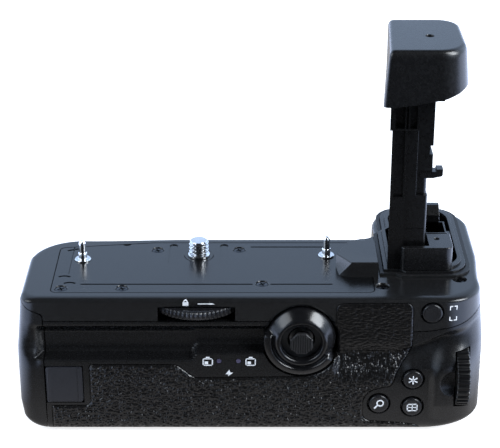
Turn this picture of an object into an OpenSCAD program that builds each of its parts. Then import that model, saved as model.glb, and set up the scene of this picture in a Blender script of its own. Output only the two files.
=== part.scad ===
// Battery grip for a mirrorless camera, with a two-battery magazine.
// Origin at the mouth of the tripod socket, under the attachment screw.
// +X to the right seen from the rear, +Y to the front of the camera, +Z up.

/* [Batteries and magazine] */
// Length of one battery
battery_l = 56.8; // [50:0.1:60]
// Width of one battery
battery_w = 38.4; // [34:0.1:42]
// Thickness of one battery
battery_t = 21; // [18:0.1:23]
// Room on each side of a battery in the tray
battery_gap = 0.3; // [0.1:0.05:0.6]
// Wall of the battery tray
tray_wall = 1.2; // [0.8:0.1:1.8]
// Floor of the battery tray
tray_floor = 1.5; // [1:0.1:2.5]
// Running gap between the tray and its bay
slide_gap = 0.25; // [0.1:0.05:0.5]
// Wall of the bay
bay_wall = 1.2; // [0.8:0.1:2]
// Length of the end cap that closes the bay
end_cap_l = 8.3; // [7.5:0.1:12]
// Room for the lock bar between the end cap and the first battery
latch_room = 3.4; // [3.2:0.1:5]
// Radius of the release knob
knob_r = 9; // [7:0.1:10]
// Radius of the release spindle
spindle_r = 2; // [1.4:0.1:2.4]

/* [Body] */
// From the screw's axis to the left end
left_reach = 56.3; // [52:0.1:60]
// From the screw's axis to the rear band
rear_reach = 31; // [30:0.1:32]
// From the screw's axis to the front of the top cover
front_reach = 11.8; // [11.4:0.1:13]
// From the bay's end to the right end
control_l = 14; // [13.5:0.1:18]
// From the bay's roof to the top face
top_space = 14.1; // [13.8:0.1:18]
// Wall of the casing
wall = 2; // [1.4:0.1:2.4]
// Height of the rear band of the top cover
band_h = 8.4; // [8:0.1:9]
// Depth of the finger recess under the band
recess_depth = 3.2; // [2:0.1:4]
// Height of the finger recess
recess_h = 8.4; // [7.5:0.1:10]
// How far the lower rear face stands out past the band
rear_bulge = 2; // [1:0.1:3]
// Width of the hand grip at the top
grip_w = 32.5; // [31:0.1:34]
// From the screw's axis to the front of the hand grip at the top
grip_reach = 39; // [38:0.1:42]
// How far the hand grip swells to the front below the seam
grip_swell = 5; // [3:0.1:7]
// Gap at the seams between the casing's pieces
seam_gap = 0.2; // [0.1:0.05:0.4]
// Gap between neighbouring inner pieces
part_gap = 0.4; // [0.3:0.05:0.6]

/* [Corners] */
// Rear left corner in plan
rear_left_r = 4.5; // [4:0.5:8]
// Rear right corner in plan
rear_right_r = 13; // [9:0.5:13]
// Front left corner in plan
front_left_r = 9; // [6:0.5:11]
// Front corners of the hand grip in plan
grip_r = 15; // [11:0.5:15]
// Hollow corner between the body and the hand grip
hollow_r = 6; // [4:0.5:8]
// Rounding of the top edge
top_round = 1.7; // [1:0.1:2]
// Rounding under the left end
left_round = 9; // [6:0.5:11]
// Rounding under the right end, in height
right_round = 10; // [8:0.5:12]
// Rounding under the right end, along X
right_run = 17; // [14:0.5:18]
// Rounding under the rear face
rear_round = 6; // [2:0.5:6]
// Rounding under the front face
front_round = 6; // [3:0.5:7]

/* [Attachment] */
// Radius of the attachment screw's thread
screw_r = 3.175; // [2.5:0.005:3.2]
// Height of the screw above the plate
screw_h = 5.6; // [4:0.1:7]
// How far the lock wheel stands out of the band
wheel_out = 3.4; // [2:0.1:3.5]
// Thickness of the lock wheel's rim
wheel_t = 2.9; // [2:0.1:3]
// Gap between the lock wheel and the attachment screw
wheel_clear = 0.825; // [0.7:0.025:1.2]
// Teeth under the lock wheel
wheel_teeth = 33; // [31:1:34]
// Teeth on the screw's gear
screw_teeth = 31; // [30:1:32]
// Thickness of the gears
gear_t = 2.2; // [1.8:0.1:2.3]
// Radius of the wheel's axle
axle_r = 2; // [1.5:0.1:3]
// Thickness of the mounting plate
plate_t = 1.8; // [1.4:0.1:2]
// Radius of the locating pins
pin_r = 1.15; // [0.9:0.05:1.5]
// Height of the locating pins
pin_h = 6.9; // [5:0.1:8]
// Left pin from the screw along X
pin_left = 37.5; // [34:0.1:40]
// Right pin from the screw along X
pin_right = 41.4; // [36:0.1:42]
// How far the left pin lies behind the screw
pin_back = 3; // [0:0.1:5]
// Radius of the tripod socket
socket_r = 2.55; // [2:0.05:3.2]
// Depth of the tripod socket
socket_depth = 5.5; // [4.5:0.1:7]
// Thickness of the base plate
base_t = 2; // [1.5:0.1:2.5]

/* [Tower] */
// From the right end to the tower's left face
tower_inset = 30.2; // [29:0.1:31]
// Width of the tower's column along X
tower_w = 9; // [8:0.1:10]
// Depth of the tower along Y
tower_d = 28.5; // [24:0.1:30]
// How far the tower's rear face lies behind the screw
tower_back = 12.5; // [10:0.1:13]
// Height of the tower above the top face
tower_h = 72.7; // [60:0.1:80]
// Wall of the contact cover
cover_wall = 1.5; // [1:0.1:2.5]
// Length of the contact cover along X
cover_w = 24.4; // [22:0.1:25]
// Height of the contact cover on its left side
cover_h = 16.6; // [15:0.1:18]
// How much shorter the contact cover is on its right side
cover_rise = 4; // [3:0.1:6]
// Gap between the contact cover and the tower's head
cover_gap = 0.35; // [0.2:0.05:0.6]

/* [Controls] */
// Joystick from the screw along X
joy_x = 32.6; // [32:0.1:34]
// Joystick below the top face
joy_drop = 13.8; // [13:0.1:15]
// Outer radius of the joystick's collar
collar_r = 10.8; // [10:0.1:11]
// Outer radius of the guard below the joystick
guard_r = 11.8; // [11.2:0.1:12.2]
// Radius of the hole in the collar
joy_hole_r = 6.1; // [5.5:0.1:6.4]
// Radius of the stick's cap
stick_r = 3.8; // [3:0.1:4.4]
// Radius of the rear buttons
button_r = 3.1; // [2.4:0.05:3.4]
// How far a button stands out
button_out = 0.7; // [0.5:0.05:1]
// Travel of a button
button_travel = 0.6; // [0.4:0.05:0.7]
// Gap round a button
button_gap = 0.3; // [0.2:0.05:0.5]
// Focus button from the right end
af_inset = 16.9; // [16:0.1:18]
// Focus button below the top face
af_drop = 4.8; // [4.6:0.1:5]
// Radius of the rear dial
dial_r = 10; // [9:0.1:10.5]
// Width of the rear dial
dial_w = 4.2; // [4:0.1:5]
// Height of the dial's axis
dial_z = 19.2; // [18.8:0.1:20]
// How far the dial stands out of its mound
dial_out = 3.2; // [2:0.1:3.5]
// How far the dial's mound stands out of the rear face
mound_out = 2; // [1:0.1:3]
// Radius of the front dial
front_dial_r = 7.6; // [7:0.1:8]
// Radius of the shutter button
shutter_r = 5; // [4:0.1:5.5]
// Thickness of the rubber grips
rubber_t = 1; // [0.6:0.1:1.4]

/* [Hidden] */
$fn = 48;

// Small amount by which cuts run past a face
over = 1;

// The stack of sizes from the batteries to the casing
tray_w = battery_w + 2 * battery_gap + 2 * tray_wall;
tray_h = tray_floor + battery_t + 2 * battery_gap;
bay_w = tray_w + 2 * slide_gap + 2 * bay_wall;
bay_h = tray_h + 2 * slide_gap + 2 * bay_wall;
socket_roof = 1;
bay_z0 = socket_depth + socket_roof + part_gap;
bay_z1 = bay_z0 + bay_h;
body_h = bay_z1 + top_space;
bay_y0 = -rear_reach + recess_depth + wall + part_gap;
bay_y1 = bay_y0 + bay_w;
front_low = bay_y1 + part_gap + wall;
x_left = -left_reach;
x_seam = x_left + end_cap_l;
pocket_l = battery_l + 2 * battery_gap;
first_wall_x = x_seam + latch_room;
tray_x1 = first_wall_x + 3 * tray_wall + 2 * pocket_l;
contact_room = 1.4;
board_t = 1.2;
board_gap = 0.1;
board_x0 = tray_x1 + contact_room;
bay_x1 = board_x0 + board_t;
x_right = bay_x1 + control_l;
tray_yc = (bay_y0 + bay_y1) / 2;
tray_zc = (bay_z0 + bay_z1) / 2;
split_y = 4;

// Heights of the outer faces
rear_low = rear_reach + rear_bulge;
rear_floor = rear_reach - recess_depth;
seam_z = body_h - band_h;
recess_z1 = seam_z - 0.6;
recess_z0 = recess_z1 - recess_h;
left_lean = 2.2;
right_lean = 0.9;
far_sweep = 9;
grip_flare = 6;
lean_z = recess_z0;
corner_steps = 6;

// How far a rounded edge of radius r draws in at height h above its foot
function round_in(h, r) = h < r ? r - sqrt(r * r - (r - h) * (r - h)) : 0;
// Share of the way from z0 to z1
function share(z, z0, z1) = min(1, max(0, (z - z0) / (z1 - z0)));
function top_in(z) = round_in(body_h - z, top_round);

// Distance of each wall from the screw's axis at height z
function wall_rear(z) = z > recess_z1 ? rear_reach - top_in(z)
    : z > recess_z0 - 1.2 ? lookup(z, [
        [recess_z0 - 1.2, rear_low],
        [recess_z0 - 0.4, rear_low - 0.3],
        [recess_z0 + 0.6, rear_low - 1.6],
        [recess_z0 + 1.8, rear_floor + 0.6],
        [recess_z0 + 3, rear_floor],
        [recess_z1 - 4, rear_floor],
        [recess_z1 - 1.6, rear_reach - 1.4],
        [recess_z1 - 0.5, rear_reach - 0.25],
        [recess_z1, rear_reach]])
    : rear_low - round_in(z, rear_round);
function wall_left(z) = left_reach - round_in(z, left_round) - top_in(z)
    - left_lean * share(z, lean_z, body_h);
function wall_right(z) = x_right - right_run / right_round * round_in(z, right_round) - top_in(z)
    - right_lean * share(z, lean_z, body_h);
function wall_front(z) = lookup(z, [
    [bay_z1 + 1, front_low],
    [bay_z1 + 2.5, front_low - 2.6],
    [seam_z - 0.8, front_reach + 0.3],
    [seam_z, front_reach]]) - round_in(z, front_round) - top_in(z);
function grip_front(z) = grip_reach + grip_swell * (1 - share(z, recess_z0, seam_z))
    - round_in(z, front_round) - top_in(z);
function grip_left(z) = x_right - grip_w - grip_flare * (1 - share(z, bay_z1, seam_z)) + top_in(z);

// Front left corner in plan, wider above the bay
function far_corner(z) = front_left_r + far_sweep * share(z, bay_z1, seam_z);

// Points of an arc about [x, y]
function arc(x, y, r, a0, a1, n = corner_steps) =
    [for (i = [0:n]) let (a = a0 + (a1 - a0) * i / n) [x + r * cos(a), y + r * sin(a)]];

// Plan of the casing at height z, grown by d, with its rear wall at y = -rear
function plan(z, d, rear) = let (
    l = -wall_left(z) - d, r = wall_right(z) + d, b = -rear - d, f = wall_front(z) + d,
    g = grip_left(z) - d, t = grip_front(z) + d,
    left_r = rear_left_r + d, right_r = rear_right_r + d, far_r = far_corner(z) + d, in_r = hollow_r - d,
    tip_r = min(grip_r + d, 0.49 * (r - g))) concat(
    arc(l + left_r, b + left_r, left_r, 180, 270),
    arc(r - right_r, b + right_r, right_r, 270, 360),
    arc(r - tip_r, t - tip_r, tip_r, 0, 90),
    arc(g + tip_r, t - tip_r, tip_r, 90, 180),
    arc(g - in_r, f + in_r, in_r, 0, -90),
    arc(l + far_r, f - far_r, far_r, 90, 180));

// Faces that close a plan, split at the hollow corner so that each one is convex
function plan_faces(first) = let (s = corner_steps + 1) concat(
    [[for (i = [s:4 * s]) first + i]],
    [for (i = [4 * s:5 * s - 2]) [first + s, first + i, first + i + 1]],
    [concat([for (i = [0:s]) first + i], [for (i = [5 * s - 1:6 * s - 1]) first + i])]);
function reversed(face) = [for (i = [len(face) - 1:-1:0]) face[i]];

// Solid through rings of points that all have the casing's plan order
module skin_rings(rings) {
    n = len(rings[0]);
    m = len(rings);
    sides = [for (k = [0:m - 2], i = [0:n - 1], half = [0, 1])
        let (j = (i + 1) % n, a = k * n + i, b = k * n + j)
        half == 0 ? [a, a + n, b + n] : [a, b + n, b]];
    top = [for (face = plan_faces((m - 1) * n)) reversed(face)];
    polyhedron([for (ring = rings) each ring], concat(plan_faces(0), sides, top), convexity = 6);
}

// Solid through the plans at the heights zs
module loft(zs, d = 0) {
    skin_rings([for (z = zs) [for (p = plan(z, d, wall_rear(z))) [p[0], p[1], z]]]);
}

bottom_steps = [0, 0.5, 1.5, 3, 5, 8, 12];
recess_steps = [recess_z0 - 1.2, recess_z0 - 0.4, recess_z0 + 0.6, recess_z0 + 1.8, recess_z0 + 3,
    recess_z1 - 4, recess_z1 - 1.6, recess_z1 - 0.5, recess_z1];
top_steps = [for (a = [0, 30, 60, 90]) body_h - top_round * (1 - sin(a))];
low_levels = concat(bottom_steps, recess_steps, [seam_z - seam_gap / 2]);
high_levels = concat([seam_z + seam_gap / 2], top_steps);
all_levels = concat(bottom_steps, recess_steps, top_steps);

// Box from one corner to the other
module box(x, y, z) {
    translate([x[0], y[0], z[0]]) cube([x[1] - x[0], y[1] - y[0], z[1] - z[0]]);
}

// Cylinder along Y, and along X
module rod_y(x, z, r, y0, y1) {
    translate([x, y1, z]) rotate([90, 0, 0]) cylinder(r = r, h = y1 - y0);
}
module rod_x(y, z, r, x0, x1) {
    translate([x0, y, z]) rotate([0, 90, 0]) cylinder(r = r, h = x1 - x0);
}

// Outline in X and Z carried along Y
module slab_y(points, y0, y1) {
    translate([0, y1, 0]) rotate([90, 0, 0]) linear_extrude(y1 - y0) polygon(points);
}

// Rectangle with round corners as points
function round_rect(x, y, r) = concat(
    arc(x[0] + r, y[0] + r, r, 180, 270), arc(x[1] - r, y[0] + r, r, 270, 360),
    arc(x[1] - r, y[1] - r, r, 0, 90), arc(x[0] + r, y[1] - r, r, 90, 180));

// Plate's plan grown by d, with the far left corner drawn in
function plate_plan(d) = let (r = plate_r + d, x0 = plate_x0 - d, x1 = plate_x1 + d, y0 = plate_y0 - d,
    y1 = plate_y1 + d) concat(
    arc(x0 + r, y0 + r, r, 180, 270), arc(x1 - r, y0 + r, r, 270, 360), arc(x1 - r, y1 - r, r, 0, 90),
    [[x0 + plate_cut[0], y1]],
    arc(x0 + r, y1 - plate_cut[1] - r, r, 95, 180));

// Places of the attachment
plate_r = 2;
plate_cut = [31, 3.6];
plate_x0 = x_left + 10.8;
plate_x1 = x_right - tower_inset - 4.8;
plate_y0 = -rear_reach + 4.6;
plate_y1 = front_reach - 2.2;
plate_z0 = body_h - plate_t;
ledge_t = 1;
ceiling_z = plate_z0 - ledge_t;
wheel_r = (rear_reach + wheel_out - screw_r - wheel_clear) / 2;
wheel_y = wheel_r - rear_reach - wheel_out;
gear_module = -2 * wheel_y / (wheel_teeth + screw_teeth);
wheel_head = 1.3;
wheel_z1 = plate_z0 - wheel_head;
wheel_z0 = wheel_z1 - wheel_t;
gear_z0 = wheel_z0 - gear_t;
carrier_t = 1.6;
carrier_z1 = gear_z0 - 0.3;
carrier_z0 = carrier_z1 - carrier_t;
run_gap = 0.05;
bush_r = 4.6;
bush_flange_r = 5.6;
journal_r = 2.2;
window_x = 12;
window_z0 = wheel_z0 - 1.6;
window_z1 = wheel_z1 + 0.4;
function tip_r(teeth) = gear_module * (teeth / 2 + 1);
function pitch_r(teeth) = gear_module * teeth / 2;

pin_places = [[-pin_left, -pin_back], [pin_right, 0]];
pin_seat_r = pin_r + 0.3;
screw_head_r = 1.9;
shank_r = 0.9;
head_sink = 0.2;
groove_screw_x = 20.4;
screw_places = [[-13.6, plate_y1 - 5.5], [13.1, plate_y1 - 5.3], [plate_x0 + 3, plate_y0 + 2.8],
    [plate_x0 + 22.1, plate_y0 + 3], [groove_screw_x, plate_y0 + 6.1]];
cover_screw_places = [[x_right - 32.2, -rear_reach + 9], [x_right - 7.6, -rear_reach + 13.8]];
cover_screw_d = 0.8;
cover_screw_t = 0.8;
post_r = 1.6;
carrier_gap = 0.6;
carrier_x = 20.5;
carrier_y = [-rear_floor + wall + carrier_gap, plate_y1 - carrier_gap];
post_places = [for (s = [-1, 1]) each
    [[s * (carrier_x - 2.5), carrier_y[0] + 3.2], [s * (carrier_x - 7.5), carrier_y[1] - 3]]];

// Places of the controls
joy_z = body_h - joy_drop;
af_x = x_right - af_inset;
af_z = body_h - af_drop;
star_at = [x_right - 22, dial_z + 0.2];
zoom_at = [x_right - 32.4, dial_z - 8.6];
grid_at = [x_right - 21.8, dial_z - 10];
low_buttons = [star_at, zoom_at, grid_at];
flange_over = 0.8;
flange_t = 0.8;
flange_gap = 0.2;
switch_gap = 0.1;
switch_t = 1.2;
low_in = -rear_low + wall;
band_in = -rear_reach + wall;
stem_r = 1.2;
low_board_y = bay_y0 - part_gap - board_t;
af_board_y = band_in + flange_gap + flange_t + 2.6;
dial_x = x_right - 6.4;
dial_y = -rear_low - mound_out - dial_out + dial_r;
dial_gap = 0.4;
dial_room = [dial_x - dial_w / 2 - dial_gap, dial_x + dial_w / 2 + dial_gap];
dial_axle_r = 1;
axle_gap = 0.02;
axle_end = dial_room[1] + 0.5;
mound_x0 = x_right - 16;
mound_x1 = x_right - 3.4;
mound_z0 = dial_z - 13.8;
mound_z1 = dial_z + 12.3;
scoop_r = 9;
scoop_out = 7.3;
scoop_x = dial_room[0] - 0.8;
collar_y0 = -rear_reach - 3.4;
collar_y1 = -rear_floor + wall - 0.2;
collar_gap = 0.15;
joy_y = collar_y0 + 4.8;
guard_out = 0.9;
lip_t = 2.8;
lip_over = 0.5;
light_r = 0.75;
light_z = recess_z0 - 3.3;
light_places = [[6.9, light_z], [13, light_z]];
cord_x0 = x_seam + 0.5;
cord_x1 = x_seam + 11.2;
cord_z0 = bay_z0 + 4.6;
cord_z1 = cord_z0 + 12.4;
cord_t = 1.4;
cord_out = 0.2;
cord_hinge_r = (cord_t + cord_out) / 2;
cord_axis = [cord_x0 + cord_hinge_r, -rear_low - cord_out + cord_hinge_r];
cord_gap = 0.3;
passage_x = [cord_x0 + 1.6, cord_x1 - 1.8];
passage_z = [cord_z0 + 2, cord_z1 - 2];
front_dial_w = 5;
front_dial_out = 1.8;
front_dial_x = x_right + front_dial_out - front_dial_r;
front_dial_y = front_low - 10.8;
front_dial_z = tray_zc - 2;
shutter_a = 40;
shutter_z = tray_zc + 4;
shutter_at = [x_right - grip_r, grip_reach + grip_swell - grip_r];
bezel_w = 1.5;
bezel_l = 5;
function_y = grip_reach - 16;
function_z = tray_zc + 6;
function_r = 2.4;

// Places of the tower
tower_x0 = x_right - tower_inset;
tower_x1 = tower_x0 + tower_w;
tower_y0 = -tower_back;
tower_y1 = tower_y0 + tower_d;
base_h = 1.6;
tower_lean = 1.9;
tower_z0 = body_h + base_h;
tower_z1 = body_h + tower_h;
head_w = cover_w - 2 * cover_wall - 2 * cover_gap;
head_h = 7;
head_z0 = tower_z1 - head_h;
head_x0 = tower_x0 - 0.3;
head_y0 = tower_y0 - 0.6;
cover_x0 = head_x0 - cover_wall - cover_gap;
cover_z1 = tower_z1 + cover_gap + cover_wall;
cover_taper = 1.2;
head_r = 8;
head_corner = 0.6;

// Upper casing: rear band, top face and ends
module top_cover() {
    color("#17181c") difference() {
        loft(high_levels);
        translate([0, 0, seam_z - over])
            linear_extrude(ceiling_z - seam_z + over) polygon(plan(ceiling_z, -wall, wall_rear(ceiling_z)));
        translate([0, 0, plate_z0])
            linear_extrude(plate_t + over) polygon(plate_plan(seam_gap));
        // Room for the wheel and the gears under the plate
        intersection() {
            translate([0, wheel_y, window_z0])
                cylinder(r = wheel_r + part_gap, h = plate_z0 - window_z0 + over / 2);
            box([-50, 50], [-rear_reach + wall - 0.1, 50], [0, plate_z0 + 0.01]);
        }
        intersection() {
            translate([0, wheel_y, seam_z - over])
                cylinder(r = tip_r(wheel_teeth) + part_gap, h = wheel_z0 - seam_z + over);
            box([-50, 50], [-rear_reach + 0.8, 50], [0, plate_z0]);
        }
        translate([0, 0, seam_z - over])
            cylinder(r = tip_r(screw_teeth) + part_gap, h = wheel_z0 - seam_z + over);
        translate([0, 0, ceiling_z - 0.2]) cylinder(r = bush_flange_r + part_gap, h = ledge_t + 0.4);
        // Window for the wheel
        box([-window_x, window_x], [-rear_reach - over, -rear_reach + wall + 0.6], [window_z0, window_z1]);
        // Seats of the joystick's collar and the focus button
        rod_y(joy_x, joy_z, collar_r + collar_gap, -rear_reach - 10, collar_y1 + 0.2);
        rod_y(af_x, af_z, button_r + button_gap, -rear_reach - over, band_in + over);
        for (p = pin_places) translate([p[0], p[1], ceiling_z - over])
            cylinder(r = pin_seat_r + part_gap, h = plate_t + ledge_t + over);
        for (p = screw_places) translate([p[0], p[1], ceiling_z - over])
            cylinder(r = shank_r + run_gap, h = plate_t + ledge_t + over);
        for (p = cover_screw_places) translate([p[0], p[1], 0]) {
            translate([0, 0, body_h - cover_screw_d - cover_screw_t])
                cylinder(r = screw_head_r + run_gap, h = cover_screw_d + cover_screw_t + over);
            translate([0, 0, ceiling_z - over]) cylinder(r = shank_r + run_gap, h = plate_t + over);
        }
        // The end cap's seam
        slab_y(cap_face(seam_gap), -rear_reach - 10, grip_reach + 10);
    }
}

// End cap's outline in X and Z, grown by d at the seam
function cap_face(d) = concat(
    [[x_left - 10, -over], [x_seam + d, -over]],
    arc(x_seam + d - 5, seam_z + 1.5 + d, 5, 0, 60, 4),
    [[x_left - 10, body_h - 1.6 + d]]);

// Inset plate that meets the camera
module mount_plate() {
    slot_xs = [-8.5, 8.1];
    slot_y0 = -6.7;
    slot_w = 2.6;
    groove_w = 0.7;
    groove_d = 0.5;
    near_y = plate_y0 + 5.7;
    far_y = plate_y1 - 3.2;
    end_x = plate_x1 - 12.8;
    // Each groove's ends along X and its place along Y
    grooves = [[plate_x0 + 8.8, groove_screw_x - 2.9, near_y], [groove_screw_x + 2.5, end_x, near_y],
        [groove_screw_x - 3.6, end_x, far_y]];
    color("#1d2026") difference() {
        translate([0, 0, plate_z0])
            linear_extrude(plate_t) polygon(plate_plan(0));
        translate([0, 0, plate_z0 - over]) cylinder(r = bush_r + run_gap, h = plate_t + 2 * over);
        for (p = pin_places) translate([p[0], p[1], plate_z0 - over])
            cylinder(r = pin_seat_r + run_gap, h = plate_t + 2 * over);
        for (p = screw_places) translate([p[0], p[1], plate_z0 - over])
            cylinder(r = screw_head_r + run_gap, h = plate_t + 2 * over);
        for (x = slot_xs)
            box([x - slot_w / 2, x + slot_w / 2], [slot_y0, plate_y1 - 1], [body_h - 0.3, body_h + over]);
        for (g = grooves)
            box([g[0], g[1]], [g[2] - groove_w / 2, g[2] + groove_w / 2],
                [body_h - groove_d, body_h + over]);
    }
}

// Plain pins with a flange, set into the plate
module locating_pins() {
    flange_r = 2.6;
    flange_z = plate_t + 0.5;
    foot_r = pin_r + 0.25;
    foot_z = plate_t + 2.6;
    slope = 0.4;
    tip = 0.7;
    color("#c8ccd0") for (p = pin_places) translate([p[0], p[1], plate_z0]) rotate_extrude() polygon([
        [0, 0], [pin_seat_r, 0], [pin_seat_r, plate_t], [flange_r, plate_t], [flange_r, flange_z],
        [foot_r, flange_z], [foot_r, foot_z], [pin_r, foot_z + slope],
        [pin_r, plate_t + pin_h - tip], [pin_r - tip, plate_t + pin_h], [0, plate_t + pin_h]]);
}

// Flanged sleeve that guides the screw
module screw_bush() {
    color("#9a9ea3") difference() {
        union() {
            translate([0, 0, ceiling_z]) cylinder(r = bush_flange_r, h = ledge_t);
            translate([0, 0, ceiling_z]) cylinder(r = bush_r, h = plate_t + ledge_t);
        }
        translate([0, 0, ceiling_z - over])
            cylinder(r = screw_r + run_gap, h = plate_t + ledge_t + 2 * over);
    }
}

// Cross-head screw with its head at the top
module small_screw(head_t, length) {
    slot = 0.5;
    slot_d = 0.6;
    arm = screw_head_r * 0.6;
    difference() {
        union() {
            translate([0, 0, -head_t]) cylinder(r = screw_head_r, h = head_t);
            translate([0, 0, -length]) cylinder(r = shank_r, h = length);
        }
        for (a = [0, 90]) rotate(a) box([-arm, arm], [-slot / 2, slot / 2], [-slot_d, over]);
    }
}

// Screws of the mounting plate
module plate_screws() {
    color("#3a3d42") for (p = screw_places) translate([p[0], p[1], body_h - head_sink])
        small_screw(plate_t - head_sink, plate_t + ledge_t - 2 * head_sink);
    color("#3a3d42") for (p = cover_screw_places) translate([p[0], p[1], body_h - cover_screw_d])
        small_screw(cover_screw_t, plate_t);
}

// Bearing plate under the gears, hung from the top cover
module gear_carrier() {
    color("#5a5f66") difference() {
        union() {
            translate([0, 0, carrier_z0]) linear_extrude(carrier_t)
                polygon(round_rect([-carrier_x, carrier_x], carrier_y, 2.5));
            for (p = post_places) translate([p[0], p[1], carrier_z0])
                cylinder(r = post_r, h = ceiling_z - carrier_z0);
        }
        translate([0, wheel_y, carrier_z0 - over]) cylinder(r = axle_r + run_gap, h = carrier_t + 2 * over);
        translate([0, 0, carrier_z0 - over]) cylinder(r = journal_r + run_gap, h = carrier_t + 2 * over);
    }
}

// Axle of the lock wheel
module wheel_axle() {
    head_r = axle_r + 1.2;
    head_t = 0.6;
    color("#b4b8bc") translate([0, wheel_y, carrier_z0 - head_t]) union() {
        cylinder(r = head_r, h = head_t);
        cylinder(r = axle_r, h = plate_z0 - carrier_z0 + head_t);
    }
}

// Gear outline with straight-flanked teeth, turned so that a tooth or a gap meets its mate
function gear_points(teeth, start) = [for (i = [0:teeth - 1], k = [0:3])
    let (a = start + 360 * (i + [-0.29, -0.11, 0.11, 0.29][k]) / teeth,
        r = (k == 0 || k == 3) ? pitch_r(teeth) - 1.2 * gear_module : tip_r(teeth) - 0.1)
    [r * cos(a), r * sin(a)]];

// Knurled wheel with its gear
module lock_wheel() {
    ridges = 72;
    knurl = 0.35;
    color("#1b1c1f") translate([0, wheel_y, 0]) difference() {
        union() {
            translate([0, 0, wheel_z0]) linear_extrude(wheel_t) polygon([for (i = [0:2 * ridges - 1])
                let (r = wheel_r - (i % 2) * knurl, a = 180 * i / ridges) [r * cos(a), r * sin(a)]]);
            translate([0, 0, gear_z0]) linear_extrude(gear_t + 0.01) polygon(gear_points(wheel_teeth, 90));
        }
        translate([0, 0, gear_z0 - over]) cylinder(r = axle_r + run_gap, h = gear_t + wheel_t + 2 * over);
    }
}

// Attachment screw with its shoulder and journals
module camera_screw() {
    shoulder_r = screw_r + 0.3;
    shoulder_z = [body_h + 0.1, body_h + 0.9];
    shank_z = gear_z0 - 0.1;
    top_z = body_h + screw_h;
    tip = 0.5;
    color("#d4d7da") rotate_extrude() polygon([
        [0, carrier_z0], [journal_r, carrier_z0], [journal_r, shank_z], [screw_r, shank_z],
        [screw_r, shoulder_z[0]], [shoulder_r, shoulder_z[0]], [shoulder_r, shoulder_z[1]],
        [screw_r, shoulder_z[1]], [screw_r, top_z - tip], [screw_r - tip, top_z], [0, top_z]]);
}

// Gear fixed on the screw's shank
module screw_gear() {
    color("#c9a94e") translate([0, 0, gear_z0]) difference() {
        linear_extrude(gear_t - 0.3) polygon(gear_points(screw_teeth, 270 + 180 / screw_teeth));
        translate([0, 0, -over]) cylinder(r = screw_r + 0.02, h = gear_t + 2 * over);
    }
}

// Hollow of the lower casing: round below, drawn in behind the recess and again over the bay
module low_cavity() {
    low_top = recess_z0 - 2;
    mid_z = bay_z1 + 0.6;
    turn = 1;
    // Height of each ring, height of the plan that it follows, distance of its rear wall
    rings = concat(
        [for (z = bottom_steps) [z + wall, z, rear_low - round_in(z, rear_round)]],
        [[low_top, low_top, rear_low], [low_top + turn, low_top, rear_floor], [mid_z, mid_z, rear_floor],
        [mid_z + turn, seam_z, rear_floor], [seam_z + over, seam_z, rear_floor]]);
    skin_rings([for (k = rings) [for (p = plan(k[1], -wall, k[2])) [p[0], p[1], k[0]]]]);
}

base_x = [x_seam + 8, tower_x0];
base_y = [-22, 14];

// What both lower casing halves share
module low_casing() {
    difference() {
        loft(low_levels);
        low_cavity();
        slab_y(cap_face(seam_gap), -rear_low - 10, grip_reach + 20);
        translate([0, 0, -over]) linear_extrude(wall + 2 * over)
            polygon(round_rect([base_x[0] - seam_gap, base_x[1] + seam_gap],
                [base_y[0] - seam_gap, base_y[1] + seam_gap], 4));
    }
}

// Raised ground round the rear dial
module dial_mound() {
    foot = 2.2;
    hull() {
        slab_y(mound_face(foot), -rear_low + 0.5, -rear_low + 0.6);
        slab_y(mound_face(0), -rear_low - mound_out, -rear_low - mound_out + 0.1);
    }
}

// Mound's outline in X and Z, grown by d
function mound_face(d) = let (
    x0 = mound_x0 - d, x1 = mound_x1 + d / 2, z0 = mound_z0 - d / 2, z1 = mound_z1 + d,
    r0 = 4, r1 = 6, r2 = 8) concat(
    arc(x0 + r0, z0 + r0, r0, 180, 270, 4),
    arc(x1 - r1, z0 + r1, r1, 270, 360, 4),
    arc(x1 - r2, z1 - r2, r2, 0, 90, 4),
    arc(x0 + r2, z1 - r2, r2, 90, 180, 4));

// Rear casing with the finger recess and the holes of the controls
module rear_cover() {
    color("#141519") difference() {
        union() {
            intersection() {
                low_casing();
                box([-100, 200], [-100, split_y - seam_gap / 2], [-over, 100]);
            }
            // Raised ground of the charge lights
            slab_y([[-1.8, recess_z0 - 1.5], [1.2, panel_top], [joy_x - 6, panel_top],
                [joy_x - 6, recess_z0 - 1.5]], -rear_low, -rear_floor + 0.5);
            intersection() {
                dial_mound();
                loft(low_levels, mound_out + 0.2);
            }
        }
        rod_y(joy_x, joy_z, collar_r + collar_gap, -rear_low - 10, collar_y1 + 0.2);
        for (b = low_buttons) rod_y(b[0], b[1], button_r + button_gap, -rear_low - 5, low_in + over);
        rod_x(dial_y, dial_z, dial_r + dial_gap, dial_room[0], dial_room[1]);
        rod_x(dial_y, dial_z, dial_axle_r + axle_gap, dial_x, axle_end);
        guard_sector(guard_r + collar_gap, -rear_low - 10, -rear_floor + 0.1);
        // Thumb scoop beside the dial
        translate([scoop_x, -rear_low - mound_out - scoop_out, dial_z]) sphere(r = scoop_r);
        for (p = light_places) rod_y(p[0], p[1], light_r + run_gap, -rear_low - over, low_in + over);
        // Seat of the cord cover and the passage behind it
        box([cord_x0 - cord_gap, cord_x1 + cord_gap], [-rear_low - over, -rear_low + cord_t + 0.1],
            [cord_z0 - cord_gap, cord_z1 + cord_gap]);
        box(passage_x, [-rear_low - over, low_in + over], passage_z);
    }
}

// Front casing with the hand grip
module front_cover() {
    color("#141519") difference() {
        intersection() {
            low_casing();
            box([-100, 200], [split_y + seam_gap / 2, 100], [-over, 100]);
        }
        rod_y(front_dial_x, front_dial_z, front_dial_r + dial_gap, front_room[0], front_room[1]);
        shutter_frame() translate([0, 0, -bezel_l - 3])
            cylinder(r = shutter_r + bezel_w + 0.1, h = bezel_l + 10);
        rod_x(function_y, function_z, function_r + button_gap, x_right - wall - over, x_right + over);
    }
}

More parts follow.
